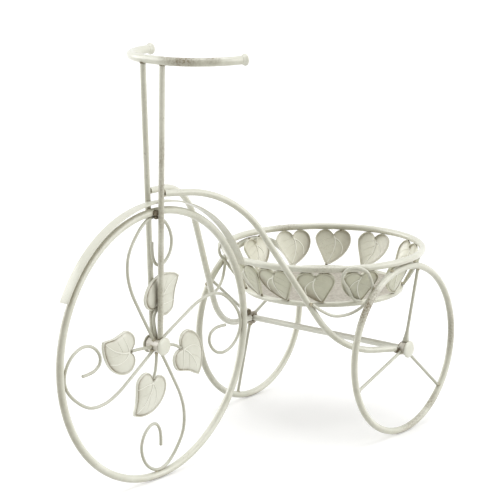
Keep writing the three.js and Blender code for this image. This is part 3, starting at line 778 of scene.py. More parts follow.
@dataclass(frozen=True)
class StampedLeaf:
    """A heart-shaped leaf stamped from sheet, with raised veins and a rim turned back.

    It is modelled flat, with the lobes' tops at y = 0, the tip at y = length and the crown to +Z.
    """

    width: float
    length: float
    bow: float  # how far the spine bends sideways
    sweep: float  # how far the tip is carried sideways
    rim_depth: float = 3.6
    crown: float = 1.4  # the face's middle over its rim
    sheet: float = 1.2
    # Radius and route of each vein, the route as shares of width and length.
    veins: tuple[tuple[float, Route], ...] = (
        (1.4, ((0.0, 0.155), (0.0, 0.34), (0.0, 0.6), (0.0, 0.8), (0.0, 0.95))),
        (1.2, ((0.0, 0.18), (0.17, 0.25), (0.31, 0.38), (0.4, 0.52))),
        (0.55, ((0.0, 0.36), (0.11, 0.47), (0.2, 0.6), (0.24, 0.71))),
        (1.2, ((0.0, 0.18), (-0.14, 0.28), (-0.26, 0.44), (-0.31, 0.62))),
        (0.55, ((0.0, 0.42), (-0.07, 0.52), (-0.14, 0.66), (-0.17, 0.78))),
    )
    vein_wash: float = 0.75  # wash and painted shade along the veins' sides
    bare: float = 0.5  # the strength of the painted highlight along their tops
    full_vein: float = 1.2  # the radius from which a vein gets its full painted highlight and painted shade
    edge: float = -0.6  # height of the turned edge's outermost line

    def point(self, x: float, y: float) -> Vector:
        """Return a point of the leaf, set off square from its bent spine.

        Args:
            x: The point's share of the width, from the spine.
            y: Its share of the length, along the spine.

        Returns:
            The point.
        """
        share = (y - NOTCH) / (1 - NOTCH)
        along = max(share, 0.0)
        aside = self.sweep * along**2 - 4 * self.bow * share * (1 - along)
        lean = (2 * self.sweep * along - 4 * self.bow * (1 - 2 * along)) / ((1 - NOTCH) * self.length)
        square = Vector((1.0, -lean, 0.0)).normalized()
        return (Vector((aside, y * self.length, 0.0)) + square * x * self.width) * MM

    def outline(self) -> list[Vector]:
        """Return the leaf's edge, drawn smooth between its notch and its tip."""
        half = smooth_path([Vector((x, y, 0.0)) for x, y in HALF_HEART], 3)
        around = half + [Vector((-p.x, p.y, 0.0)) for p in reversed(half[1:-1])]
        return [self.point(p.x, p.y) + UP * self.edge * MM for p in around]

    def _rings(self, leaf: Piece, rings: Sequence[tuple[float, float, float]]) -> list[float]:
        """Draw the sheet inwards from its edge, ring by ring, and close it.

        Args:
            leaf: The leaf in the making.
            rings: Share of the outline, height, and wash and painted shade, of each ring.

        Returns:
            The wash and painted shade of each vertex that was drawn.
        """
        on_edge = [abs(vertex.co.z - self.edge * MM) < TOUCH for vertex in leaf.data.vertices]
        Bench.pick(leaf, lambda vertex: on_edge[vertex.index])
        middle = self.point(0.0, HEART_MIDDLE)
        share, height = 1.0, self.edge
        tones: list[float] = []
        for next_share, next_height, wash in rings:
            lift = Vector((0.0, 0.0, (next_height - height) * MM))
            bpy.ops.mesh.extrude_edges_move(TRANSFORM_OT_translate={"value": lift})
            ratio = next_share / share
            bpy.ops.transform.resize(value=(ratio, ratio, 1.0), center_override=middle)
            share, height = next_share, next_height
            tones += [wash] * sum(on_edge)
        bpy.ops.mesh.edge_face_add()
        bpy.ops.mesh.poke()
        Bench.close()
        return [*tones, tones[-1]]

    def _vein(self, leaf: Piece, route: Route, thick: float, side: float) -> Piece:
        """Lay one raised vein on the sheet, with wash and painted shade along both its sides and a painted
        highlight along its top.

        Args:
            leaf: The leaf that it lies on.
            route: Shares of width and length that it passes through.
            thick: Its radius at the start; it ends half as thick.
            side: 1 for the face, -1 for the back.

        Returns:
            The vein.
        """
        up = UP * side
        path = []
        for spot in smooth_path([self.point(x, y) for x, y in route], 6):
            hit, where, _, _ = leaf.ray_cast(spot + up * 20 * MM, -up)
            path.append(where - up * thick * 0.35 * MM if hit else spot)
        last = len(path) - 1
        vein = Bench.bar(path, 2 * thick, 3, [1.0 - 0.5 * index / last for index in range(last + 1)])
        drop = (self.vein_wash + self.bare) * min(1.0, thick / self.full_vein)
        # The vein's sides keep wash and painted shade; the part that faces away from the sheet gets a
        # painted highlight.
        normals = [vertex.normal.z for vertex in vein.data.vertices]
        return Bench.tone(vein, [self.vein_wash - drop * max(0.0, normal * side) for normal in normals])

    def pattern(self) -> Piece:
        """Model the leaf once, flat on the bench, for its copies.

        Returns:
            The leaf.
        """
        outline = self.outline()
        leaf = Bench.chain(outline, closed=True)
        tones = [0.1] * len(outline)
        top, rim, back = self.crown, -self.rim_depth, -self.sheet
        # Wash and painted shade, most in the groove inside the turned edge and a little on the face.
        tones += self._rings(leaf, (
            (0.995, -0.15, 0.0), (0.98, 0.0, 0.0), (0.958, -0.05, 0.1), (0.945, -0.5, 0.9),
            (0.925, -0.85, 1.0), (0.895, -0.5, 1.0), (0.865, 0.0, 0.5), (0.8, top * 0.3, 0.2),
            (0.62, top * 0.62, 0.1), (0.45, top * 0.82, 0.1), (0.26, top * 0.95, 0.1), (0.1, top, 0.1),
        ))
        tones += self._rings(leaf, (
            (1.0, rim + 0.3, 0.1), (0.99, rim, 0.1), (0.965, rim, 0.1), (0.955, rim + 0.3, 0.3),
            (0.945, back - 0.6, 0.9), (0.9, back - 0.1, 0.7), (0.8, back + top * 0.3, 0.25),
            (0.62, back + top * 0.6, 0.15), (0.4, back + top * 0.85, 0.1), (0.1, back + top, 0.1),
        ))
        Bench.tone(Bench.seal(leaf), tones)
        veins = []
        for side in (1.0, -1.0):
            veins += [self._vein(leaf, route, thick, side) for thick, route in self.veins]
        return Bench.smooth(Bench.join([leaf, *veins]), 38.0)

    def wipe(self, leaf: Piece, kept: Vector, least: float, crescent: float = 0.0) -> Piece:
        """Paint shade on one side of a leaf, by thinning its wash and painted shade everywhere else.

        Args:
            leaf: The leaf, in its place.
            kept: The direction of the side that keeps its wash and painted shade.
            least: The share of the wash and painted shade that the other side keeps.
            crescent: How much painted shade lies on the face along the kept side.

        Returns:
            The leaf.
        """
        vertices = leaf.data.vertices
        middle = sum((vertex.co for vertex in vertices), Vector()) / len(vertices)
        for vertex, tone in zip(vertices, leaf.data.attributes["wash"].data):
            offset = vertex.co - middle
            if tone.value > 0:
                tone.value *= least + (1.0 - least) * clamp(0.35 + offset.normalized().dot(kept))
                reach = offset.dot(kept) / (self.width / 2 * MM)
                tone.value = max(tone.value, crescent * clamp((reach - 0.2) / 0.45))
        return leaf

    def lay(
        self, pattern: Piece, start: Vector, along: Vector, outward: Vector, stretch: float = 1.0
    ) -> Piece:
        """Lay a copy of the leaf in its place.

        Args:
            pattern: The leaf on the bench.
            start: Where the pattern's origin goes.
            along: The direction from lobes to tip.
            outward: The direction that the crown faces.
            stretch: The copy's length as a share of the pattern's.

        Returns:
            The copy.
        """
        basis = Matrix((along.cross(outward), along * stretch, outward)).transposed().to_4x4()
        return Bench.place(Bench.copy(pattern), Matrix.Translation(start) @ basis)


# ---- Sub-assemblies -------------------------------------------------------------------------------


@dataclass
class Assembly:
    """A sub-assembly, with the finishes of its pieces and the play at its welds."""

    finishes: dict[str, tuple[bpy.types.Material, Slot]]
    gap: float = field(default=0.3, kw_only=True)

    def dress(self, piece: Piece, name: str, finish: str, *nodes: str) -> None:
        """Name a finished piece, give it its finish and let it ride.

        Args:
            piece: The piece.
            name: Its name.
            finish: The name of its finish.
            *nodes: The solids that it stands for.
        """
        material, slot = self.finishes[finish]
        piece.name = piece.data.name = name
        piece.data.materials.clear()
        piece.data.materials.append(material)
        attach(piece, "root")
        if nodes:
            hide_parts(*nodes)
        LOG.info("made %s with %d faces", name, len(piece.data.polygons))

    def weld(self, lumps: Sequence[Piece], name: str, finish: str, *nodes: str) -> None:
        """Finish lumps of weld as one piece."""
        self.dress(Bench.join(lumps), name, finish, *nodes)


@dataclass
class Wheel(Assembly):
    """What every wheel has: rim, barrel and caps, here with the front wheel's sizes."""

    rim_radius: float = 160.0  # to the middle of the rim's tube
    rim_tube: float = 9.0
    barrel_diameter: float = 18.0
    barrel_length: float = 21.0
    cap_diameter: float = 21.6
    cap_thickness: float = 3.4
    # Wash and painted shade on the rim's outer edge in its sheltered stretch and elsewhere, and where that
    # stretch starts and ends; on the front wheel the stretch lies under the mudguard.
    rim_wash: tuple[float, float, float, float] = (0.9, 0.45, 28.0, 100.0)

    def rim(self, middle: Vector, name: str, finish: str, node: str) -> None:
        """Bend a rim and note the wash and painted shade along its outer edge.

        Args:
            middle: The wheel's middle.
            name: The rim's name.
            finish: Its finish.
            node: The solid that it stands for.
        """
        rim = Bench.ring(self.rim_radius, self.rim_tube, middle, upright=True)
        sheltered, open_air, start, end = self.rim_wash
        tones = []
        for vertex in rim.data.vertices:
            away = vertex.co - middle
            depth = sheltered if start < math.degrees(math.atan2(away.z, away.x)) < end else open_air
            outward = Vector((away.x, 0, away.z)).normalized()
            tones.append(depth * max(0.0, vertex.normal.dot(outward)) ** 2)
        self.dress(Bench.tone(rim, tones), name, finish, node)

    def barrel(self, seat: Vector, outward: Vector, name: str, node: str) -> None:
        """Turn a barrel with a shallow waist and washed ends.

        Args:
            seat: The barrel's middle.
            outward: The direction of its axis.
            name: Its name.
            node: The solid that it stands for.
        """
        r, half = self.barrel_diameter / 2, self.barrel_length / 2
        upper = (
            (r * 0.955, 0.0), (r * 0.965, half * 0.5), (r, half - 2.0), (r, half - 1.4), (r, half - 0.9),
            (r - 0.25, half - 0.25), (r - 0.9, half), (0.0, half),
        )
        barrel = Bench.turned(tuple((x, -y) for x, y in reversed(upper[1:])) + upper)
        depths = [half - abs(vertex.co.z) / MM for vertex in barrel.data.vertices]
        Bench.tone(barrel, [1.0 if depth < 1.5 else 0.15 for depth in depths])
        self.dress(Bench.stand(barrel, seat, outward), name, "ivory_hub_paint", node)

    def cap(self, seat: Vector, side: Side, place: str) -> None:
        """Turn a hub cap with a rolled edge and a soft dome.

        Args:
            seat: The barrel's middle.
            side: The side that the cap faces.
            place: The wheel's place in the names, front or rear.
        """
        r, t = self.cap_diameter / 2, self.cap_thickness
        cap = Bench.turned((
            (0.0, 0.0), (r - 0.4, 0.0), (r - 0.08, 0.25), (r, 0.7), (r - 0.05, 1.25), (r - 0.5, 1.72),
            (r * 0.9, t * 0.66), (r * 0.76, t * 0.84), (r * 0.55, t * 0.95), (r * 0.3, t * 0.99), (0.0, t),
        ))
        end = seat + side.outward * (self.barrel_length / 2 + self.gap) * MM
        name, node = f"{place}_cap_{side.word}", f"{place}_hub_cap_{side.word}"
        self.dress(Bench.stand(cap, end, side.outward), name, "ivory_cap_paint", node)


@dataclass(frozen=True)
class Quarter:
    """One quarter of the front wheel's filling."""

    place: str
    scroll_angle: float
    stem_reach: float
    stem_angle: float
    leaf_angle: float  # where the leaf's tip points


@dataclass
class FrontWheel(Wheel):
    """The big wheel: rim, hub, caps, four scrolls and four leaves on stems."""

    wire: float = 3.8
    leaf: StampedLeaf = StampedLeaf(52.0, 56.0, 5.5, 0.0)
    quarters: tuple[Quarter, ...] = (
        Quarter("front", -1.4, 37.0, 2.0, 25.0),
        Quarter("top", 90.7, 38.0, 93.0, 141.0),
        Quarter("rear", 184.0, 37.5, 197.5, 233.0),
        Quarter("bottom", 271.0, 34.0, 280.0, 314.0),
    )
    # Share of the way out to the rim, and turn from the scroll's angle, of each point of a scroll.
    scroll_route: Route = (
        (0.0, -37.0), (0.16, -33.0), (0.33, -32.0), (0.5, -31.0), (0.65, -28.0), (0.79, -22.5),
        (0.9, -14.5), (0.98, -7.0), (1.0, -1.5), (0.97, 4.0), (0.91, 8.5), (0.82, 12.0), (0.73, 12.8),
        (0.65, 10.5), (0.6, 5.5), (0.605, 0.5), (0.66, -2.7), (0.73, -3.4), (0.8, -3.2),
    )
    rim_turn: float = -1.5  # from the scroll's angle to where it touches the rim
    foot_turn: float = -37.0  # the same to its foot on the barrel
    stem_turn: float = -8.0  # from the stem's angle to its foot on the barrel
    stem_straight: float = 12.0
    weld_lift: float = 0.4  # from the metal to a weld's middle
    hub: Vector = field(default_factory=lambda: middle_of("front_hub"))

    def scroll(self, quarter: Quarter) -> None:
        """Bend one scroll from the barrel to the rim and back into its curl.

        Args:
            quarter: The quarter of the wheel.
        """
        inner = self.barrel_diameter / 2 + self.gap
        outer = self.rim_radius - (self.rim_tube + self.wire) / 2 - self.gap
        marks = [
            wheel_point(self.hub, inner + share * (outer - inner), quarter.scroll_angle + turn)
            for share, turn in self.scroll_route
        ]
        name, node = f"scroll_{quarter.place}", f"front_scroll_{quarter.place}"
        self.dress(Bench.bend(marks, self.wire), name, "ivory_wire_paint", node)

    def notch_opening(self) -> tuple[float, float]:
        """Measure the leaf's notch.

        Returns:
            The notch's tilt and half the angle between its flanks, in radians.
        """
        x, y = HALF_HEART[1]
        bottom = self.leaf.point(0.0, NOTCH)
        left, right = (self.leaf.point(side, y) - bottom for side in (x, -x))
        angles = math.atan2(left.x, -left.y), math.atan2(right.x, -right.y)
        return (angles[0] + angles[1]) / 2, (angles[0] - angles[1]) / 2

    def stem(self, quarter: Quarter, notch: Vector) -> None:
        """Bend one leaf's stem from the hub into its notch.

        Args:
            quarter: The quarter of the wheel.
            notch: Where the leaf's notch lies.
        """
        tilt, half = self.notch_opening()
        arriving = wheel_point(Vector(), 1.0, quarter.leaf_angle - math.degrees(tilt))
        stand_off = (self.wire / 2 + self.gap) / math.tan(half)
        foot = self.barrel_diameter / 2 + self.gap
        marks = [
            wheel_point(self.hub, foot, quarter.stem_angle + self.stem_turn),
            notch - arriving * (stand_off + self.stem_straight),
            notch - arriving * stand_off,
        ]
        name, node = f"stem_{quarter.place}", f"front_leaf_stem_{quarter.place}"
        self.dress(Bench.bend(marks, self.wire), name, "ivory_wire_paint", node)

    def filling(self) -> None:
        """Fill the wheel with scrolls, stems and leaves."""
        pattern = self.leaf.pattern()
        outward = Side.LEFT.outward
        for quarter in self.quarters:
            self.scroll(quarter)
            reach = self.barrel_diameter / 2 + quarter.stem_reach
            notch = wheel_point(self.hub, reach, quarter.stem_angle)
            self.stem(quarter, notch)
            along = wheel_point(Vector(), 1 / MM, quarter.leaf_angle).normalized()
            lift = outward * (self.leaf.rim_depth - self.leaf.crown) / 2 * MM
            start = notch - along * NOTCH * self.leaf.length * MM + lift
            # Painted shade along each leaf's forward side.
            leaf = self.leaf.wipe(self.leaf.lay(pattern, start, along, outward), Vector((1, 0, 0)), 0.4)
            name, node = f"wheel_leaf_{quarter.place}", f"front_leaf_{quarter.place}"
            self.dress(leaf, name, "ivory_leaf_paint", node)
        Bench.discard(pattern)

    def welds(self) -> None:
        """Weld the scrolls to the rim and everything to the barrel."""
        lumps = []
        inner = self.rim_radius - self.rim_tube / 2 - self.weld_lift
        barrel = self.barrel_diameter / 2 + self.weld_lift
        for index, quarter in enumerate(self.quarters):
            touch, foot = quarter.scroll_angle + self.rim_turn, quarter.scroll_angle + self.foot_turn
            for distance, angle, size, seed in (
                (inner, touch + 2.0, (4.6, 3.2, 4.6), 0),
                (inner, touch - 2.0, (4.2, 3.0, 4.2), 9),
                (barrel, foot, (5.4, 5.0, 5.4), 20),
                (barrel, quarter.stem_angle + self.stem_turn, (5.0, 4.6, 5.0), 30),
            ):
                lumps.append(Bench.lump(wheel_point(self.hub, distance, angle), size, seed + index))
        self.weld(lumps, "front_wheel_welds", "painted_weld")

    def build(self) -> None:
        """Build the wheel."""
        self.rim(self.hub, "front_rim_tube", "ivory_front_rim_paint", "front_rim")
        self.barrel(self.hub, Side.LEFT.outward, "front_hub_barrel", "front_hub")
        for side in Side:
            self.cap(self.hub, side, "front")
        self.filling()
        self.welds()


@dataclass
class Fork(Assembly):
    """The two legs over the front wheel, their welds, the mudguard and the handlebar."""

    wheel: FrontWheel
    leg_tube: float = 7.0
    foot_spread: float = 12.0  # between the legs' middles at the hub
    head_spread: float = 30.0
    bar_height: float = 499.0
    bar_tube: float = 10.0
    bar_straight: float = 19.0
    bar_bend: float = 68.0
    bar_angle: float = 83.0
    bar_tail: float = 4.5
    bar_turn: float = -4.5  # how far it is turned, as welded
    knob: tuple[float, float, float] = (14.0, 6.5, 2.0)  # diameter, length and recess
    guard_lift: float = 5.4  # from rim to mudguard
    guard_sheet: float = 1.6
    guard_crown: float = 0.35
    guard_play: float = 0.36  # what the strip is thinner by, so that its crown has room
    guard_angles: tuple[float, float] = (28.0, 156.4)

    def __post_init__(self) -> None:
        """Find the top of the hub's barrel."""
        self.foot = self.wheel.hub.z / MM + self.wheel.barrel_diameter / 2

    def leg_point(self, height: float, side: Side) -> Vector:
        """Return the middle of a leg at a height."""
        share = (height - self.foot) / (self.bar_height - self.foot)
        spread = self.foot_spread + share * (self.head_spread - self.foot_spread)
        return Vector((self.wheel.hub.x, side.value * spread / 2 * MM, height * MM))

    def legs(self) -> None:
        """Cut the two legs, slightly drawn in where they meet hub and handlebar."""
        foot = self.foot + self.gap
        head = self.bar_height - self.bar_tube / 2 - self.gap
        between = [foot + (head - foot) * i / 24 for i in range(1, 24)]
        heights = [foot, foot + 1.0, foot + 4.0, *between, head - 1.0, head]
        swell = [0.93, 0.98, *[1.0] * (len(heights) - 4), 0.98, 0.95]
        for side in Side:
            leg = Bench.bar([self.leg_point(z, side) for z in heights], self.leg_tube, 7, swell)
            self.dress(Bench.smooth(leg), f"leg_{side.word}", "ivory_leg_paint", f"fork_leg_{side.word}")

    def leg_welds(self) -> None:
        """Weld the legs to the rim, to the hub and to the handlebar."""
        z = self.wheel.hub.z / MM + self.wheel.rim_radius
        for side in Side:
            leg = self.leg_point(z, side)
            middle = Vector((leg.x, leg.y * 0.53, leg.z))
            upper = Bench.lump(middle + mm(3.4, 0, 0), (10.4, 6.4, 8.0), 41 + side.value)
            lower = Bench.lump(middle + mm(3.0, 0, -6.4), (7.0, 4.6, 4.4), 45 + side.value)
            name = f"rim_weld_{side.word}"
            self.weld((upper, lower), name, "dark_weld", f"fork_{name}")
        lumps = []
        for index, side in enumerate(Side):
            lumps.append(Bench.lump(self.leg_point(self.foot - 0.2, side), (8.8, 7.8, 2.4), 50 + index))
            head = self.leg_point(self.bar_height - self.bar_tube / 2 + 0.3, side)
            lumps.append(Bench.lump(head, (8.2, 8.2, 2.8), 55 + index))
        self.weld(lumps, "leg_welds", "brown_weld")

    def mudguard(self) -> None:
        """Roll the mudguard from a shallow strip."""
        inner = self.wheel.rim_radius + self.wheel.rim_tube / 2 + self.guard_lift
        high = self.leg_point(self.wheel.hub.z / MM + inner, Side.LEFT).y / MM
        half = high - self.leg_tube / 2 - self.gap
        start, end = self.guard_angles
        points = []
        for share in (-1.0, -0.9, -0.6, -0.3, 0.0, 0.3, 0.6, 0.9, 1.0):
            radius = inner + self.guard_sheet / 2 - self.guard_crown * share**2
            points.append(wheel_point(self.wheel.hub, radius, start) + mm(0, share * half, 0))
        strip = Bench.chain(points)
        Bench.edit(strip)
        turn = math.radians(end - start)
        bpy.ops.mesh.spin(steps=72, angle=turn, center=self.wheel.hub, axis=(0, 1, 0))
        Bench.seal(Bench.close())
        Bench.apply(strip, "SOLIDIFY", thickness=(self.guard_sheet - self.guard_play) * MM, offset=0.0)
        Bench.apply(strip, "BEVEL", width=0.25 * MM, segments=2, limit_method="ANGLE")
        self.dress(Bench.smooth(strip), "mudguard_strip", "ivory_paint", "mudguard")

    def bar_half(self, steps: int) -> list[Vector]:
        """Return half of the handlebar's middle line, in its own plane and in millimetres.

        Args:
            steps: How many steps its bend has.

        Returns:
            The points, from the middle to the left end.
        """
        points = [Vector((0, 0, 0))]
        for step in range(steps + 1):
            angle = math.radians(self.bar_angle * step / steps)
            aside = self.bar_straight / 2 + self.bar_bend * math.sin(angle)
            points.append(Vector((-self.bar_bend * (1 - math.cos(angle)), aside, 0)))
        return [*points, points[-1] + self.end_direction(Side.LEFT) * self.bar_tail]

    def end_direction(self, side: Side) -> Vector:
        """Return where one end of the handlebar points, in its own plane."""
        angle = math.radians(self.bar_angle)
        return Vector((-math.sin(angle), side.value * math.cos(angle), 0))

    def handlebar(self) -> None:
        """Bend the handlebar and turn its two flared ends."""
        middle = Matrix.Translation((self.wheel.hub.x, 0, self.bar_height * MM))
        plane = middle @ Matrix.Rotation(math.radians(self.bar_turn), 4, "Z")
        left = self.bar_half(18)
        right = [Vector((p.x, -p.y, 0)) for p in reversed(left[1:])]
        bar = Bench.smooth(Bench.bar([plane @ (p * MM) for p in right + left], self.bar_tube, 9))
        self.dress(bar, "handlebar_tube", "ivory_bar_paint", "handlebar")
        diameter, length, recess = self.knob
        r, neck = diameter / 2, self.bar_tube / 2
        profile = (
            (0.0, 0.0), (neck - 0.3, 0.0), (neck, 0.3), (neck * 1.02, length * 0.18),
            (neck * 1.1, length * 0.42), (r * 0.95, length * 0.66), (r, length * 0.82),
            (r * 0.985, length * 0.93), (r * 0.9, length), (r * 0.74, length * 0.985),
            (r * 0.62, length - recess * 0.4), (r * 0.52, length - recess), (0.0, length - recess),
        )
        for side in Side:
            direction = self.end_direction(side)
            seat = Vector((left[-1].x, side.value * left[-1].y, 0)) + direction * self.gap
            knob = Bench.stand(Bench.turned(profile), plane @ (seat * MM), plane.to_3x3() @ direction)
            self.dress(knob, f"knob_{side.word}", "ivory_cap_paint", f"handlebar_knob_{side.word}")

    def build(self) -> None:
        """Build the fork and what it carries."""
        self.legs()
        self.leg_welds()
        self.mudguard()
        self.handlebar()


@dataclass
class RearAxle(Wheel):
    """The rear axle with its two wheels."""

    rim_radius: float = 106.5
    rim_tube: float = 8.5
    barrel_diameter: float = 17.0
    barrel_length: float = 11.0
    rim_wash: tuple[float, float, float, float] = (0.5, 0.15, -180.0, -120.0)
    axle_tube: float = 8.0
    spoke_tube: float = 4.0
    spoke_angles: dict[Side, tuple[float, ...]] = field(
        default_factory=lambda: {Side.LEFT: (105.5, 220.5, 341.0), Side.RIGHT: (39.5, 153.0, 286.0)}
    )

    def middle(self, side: Side) -> Vector:
        """Return the middle of a wheel."""
        return middle_of(f"rear_rim_{side.word}")

    def spokes(self, side: Side) -> None:
        """Cut a wheel's spokes and weld them in.

        Args:
            side: The wheel's side.
        """
        hub = self.middle(side)
        inner = self.barrel_diameter / 2 + self.gap
        outer = self.rim_radius - self.rim_tube / 2 - self.gap
        count = 14
        lumps = []
        for index, angle in enumerate(self.spoke_angles[side]):
            path = [wheel_point(hub, inner + (outer - inner) * i / count, angle) for i in range(count + 1)]
            flared = side is Side.LEFT and index == 0
            swell = [*((2.2, 1.6, 1.12) if flared else (1.18, 1.05, 1.0)), *[1.0] * (count - 2)]
            spoke = Bench.smooth(Bench.bar(path, self.spoke_tube, 6, swell))
            name = f"spoke_{side.word}_{index + 1}"
            self.dress(spoke, name, "ivory_wire_paint", f"rear_{name}")
            seed = 60 + 10 * side.value + index
            lumps.append(Bench.lump(wheel_point(hub, inner + 0.1, angle), (6.4, 6.0, 6.4), seed))
            lumps.append(Bench.lump(wheel_point(hub, outer - 0.1, angle), (4.8, 5.2, 4.8), seed + 3))
        self.weld(lumps, f"spoke_welds_{side.word}", "painted_weld")

    def axle(self) -> None:
        """Cut the axle and weld it to the hubs."""
        low, high = (Vector(corner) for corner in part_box("rear_axle"))
        middle = (low + high) / 2
        count = 30
        across = [low.y + (high.y - low.y) * i / count for i in range(count + 1)]
        path = [Vector((middle.x, y, middle.z)) for y in across]
        axle = Bench.smooth(Bench.bar(path, self.axle_tube, 7))
        self.dress(axle, "axle_tube", "ivory_axle_paint", "rear_axle")
        lumps = []
        for index, y in enumerate((low.y, high.y)):
            spot = Vector((middle.x, y - math.copysign(0.5 * MM, y), middle.z))
            lumps.append(Bench.lump(spot, (11.4, 2.4, 11.4), 90 + index))
        self.weld(lumps, "axle_welds", "dark_weld")

    def build(self) -> None:
        """Build the axle and both wheels."""
        self.axle()
        for side in Side:
            word, seat = side.word, middle_of(f"rear_hub_{side.word}")
            self.rim(self.middle(side), f"rear_rim_tube_{word}", "ivory_rim_paint", f"rear_rim_{word}")
            self.barrel(seat, side.outward, f"rear_barrel_{word}", f"rear_hub_{word}")
            self.cap(seat, side, "rear")
            self.spokes(side)


@dataclass
class Basket(Assembly):
    """The pot basket: two rings, a tray and the leaves between the rings."""

    rear: RearAxle
    top_radius: float = 128.0  # to the middle of the ring's tube
    bottom_radius: float = 101.0
    top_tube: float = 8.5
    bottom_tube: float = 7.0
    tray_sheet: float = 2.0
    leaf: StampedLeaf = StampedLeaf(
        48.3, 45.9, 0.0, -8.0, bare=0.75, veins=(
            (1.5, ((0.0, 0.155), (0.06, 0.3), (0.075, 0.5), (0.04, 0.75), (0.0, 0.95))),
            (1.3, ((0.03, 0.22), (0.17, 0.3), (0.29, 0.45), (0.3, 0.62))),
            (0.6, ((0.075, 0.5), (0.11, 0.6), (0.17, 0.7), (0.19, 0.77))),
            (0.75, ((0.02, 0.2), (-0.16, 0.24), (-0.33, 0.36), (-0.41, 0.48))),
            (0.75, ((0.06, 0.34), (-0.08, 0.42), (-0.22, 0.55), (-0.28, 0.66))),
            (0.6, ((0.06, 0.56), (-0.03, 0.64), (-0.1, 0.74), (-0.13, 0.82))),
        ),
    )
    leaf_angles: tuple[float, ...] = (
        7.5, 32.7, 59.5, 93.0, 119.0, 150.0, 183.0, 210.8, 237.0, 269.0, 295.5, 320.0, 344.0,
    )
    front_angle: float = 10.0  # leaves within front_span of it get a heavier crescent of painted shade
    front_span: float = 30.0
    light_angle: float = 235.0  # leaves on this side get the painted-lit paint, the rest the painted-shade paint

    def __post_init__(self) -> None:
        """Find the rings' middles."""
        self.top = middle_of("basket_top_ring")
        self.bottom = middle_of("basket_bottom_ring")

    def radial(self, radius: float, degrees: float, height: float) -> Vector:
        """Return a point about the basket's axis, at a height in metres."""
        angle = math.radians(degrees)
        return Vector((self.top.x + radius * MM * math.cos(angle), radius * MM * math.sin(angle), height))

    def rings(self) -> None:
        """Bend both rings."""
        upper = Bench.ring(self.top_radius, self.top_tube, self.top)
        self.dress(upper, "top_ring_tube", "ivory_ring_paint", "basket_top_ring")
        lower = Bench.ring(self.bottom_radius, self.bottom_tube, self.bottom)
        self.dress(lower, "bottom_ring_tube", "ivory_ring_paint", "basket_bottom_ring")

    def tray(self) -> None:
        """Turn the tray with a shallow dish and a pressed ring."""
        r = self.bottom_radius - self.bottom_tube / 2 - self.gap
        half = self.tray_sheet / 2
        profile = (
            (0.0, -half), (r - 0.4, -half), (r, -half + 0.4), (r, half - 0.4), (r - 0.4, half),
            (r - 3.0, half), (r - 5.0, half - 0.7), (r * 0.62, half - 0.8), (r * 0.6, half - 0.35),
            (r * 0.57, half - 0.35), (r * 0.55, half - 0.8), (0.0, half - 0.8),
        )
        tray = Bench.stand(Bench.turned(profile, 96), self.bottom, UP)
        self.dress(tray, "tray_sheet", "mottled_tray", "basket_tray")

    def tuck(self, degrees: float) -> float:
        """Return how far a leaf's upper end is set in where a rear rim passes beside it.

        Args:
            degrees: The leaf's angle.

        Returns:
            The distance.
        """
        angle = math.radians(degrees)
        wheel = self.rear.middle(Side.LEFT)
        ahead = (self.top.x - wheel.x) / MM + self.top_radius * math.cos(angle)
        inside = abs(wheel.y) / MM - self.rear.rim_tube / 2 - self.gap
        reach = self.top_radius * abs(math.sin(angle)) + self.leaf.rim_depth / 2 + self.leaf.crown
        return max(0.0, reach - inside) if abs(ahead) < self.leaf.width / 2 else 0.0

    def stand_off(self, inward: float) -> float:
        """Return how far below the top ring's middle the lobes start.

        Args:
            inward: How much the leaf leans in.

        Returns:
            The distance.
        """
        x, y = HALF_HEART[2]
        lobes = [abs(self.leaf.point(side, y).x) / MM for side in (x, -x)]
        curve = self.top_radius - math.sqrt(self.top_radius**2 - max(lobes) ** 2)
        return self.top_tube / 2 + self.gap + curve * inward

    def leaves(self) -> None:
        """Hang the leaves between the rings and weld them there."""
        pattern = self.leaf.pattern()
        end = self.bottom_tube / 2 + self.gap
        lumps = []
        for index, degrees in enumerate(self.leaf_angles):
            angle = math.radians(degrees)
            upper = self.radial(self.top_radius - self.tuck(degrees), degrees, self.top.z)
            lower = self.radial(self.bottom_radius, degrees, self.bottom.z)
            along = (lower - upper).normalized()
            radial = Vector((math.cos(angle), math.sin(angle), 0))
            outward = (radial - along * radial.dot(along)).normalized()
            start = self.stand_off(-along.dot(radial))
            length = (lower - upper).length / MM - start - end
            origin = upper + along * start * MM + outward * self.leaf.rim_depth / 2 * MM
            leaf = self.leaf.lay(pattern, origin, along, outward, length / self.leaf.length)
            turned = math.degrees(math.atan2(math.sin(angle), math.cos(angle)))
            # Painted shade on one side of each leaf: lower left as the camera sees the front leaves, lower
            # right for the others.
            if abs(turned - self.front_angle) < self.front_span:
                self.leaf.wipe(leaf, Vector((0.0, -0.8, -0.6)).normalized(), 0.5, 1.0)
            else:
                self.leaf.wipe(leaf, Vector((-0.6, 0.7, -0.4)).normalized(), 0.5, 0.5)
            # Lit and shaded copies of the leaf paint, by side: painted light and painted shade.
            light = math.cos(angle - math.radians(self.light_angle)) > 0
            finish = "ivory_light_leaf_paint" if light else "ivory_dull_leaf_paint"
            self.dress(leaf, f"pot_leaf_{index + 1:02d}", finish, f"basket_leaf_{index + 1:02d}")
            across = along.cross(outward)
            for lobe in (0.2, -0.2):
                spot = upper + along * (start - 0.6) * MM + across * self.leaf.point(lobe, 0.0).x
                lumps.append(Bench.lump(spot, (3.6, 3.6, 3.0), 100 + 3 * index + (lobe > 0)))
            spot = lower - along * (end + 0.2) * MM + across * self.leaf.point(0.0, 1.0).x
            lumps.append(Bench.lump(spot, (3.8, 3.8, 3.4), 102 + 3 * index))
        Bench.discard(pattern)
        self.weld(lumps, "leaf_welds", "brown_weld")

    def build(self) -> None:
        """Build the basket."""
        self.rings()
        self.tray()
        self.leaves()


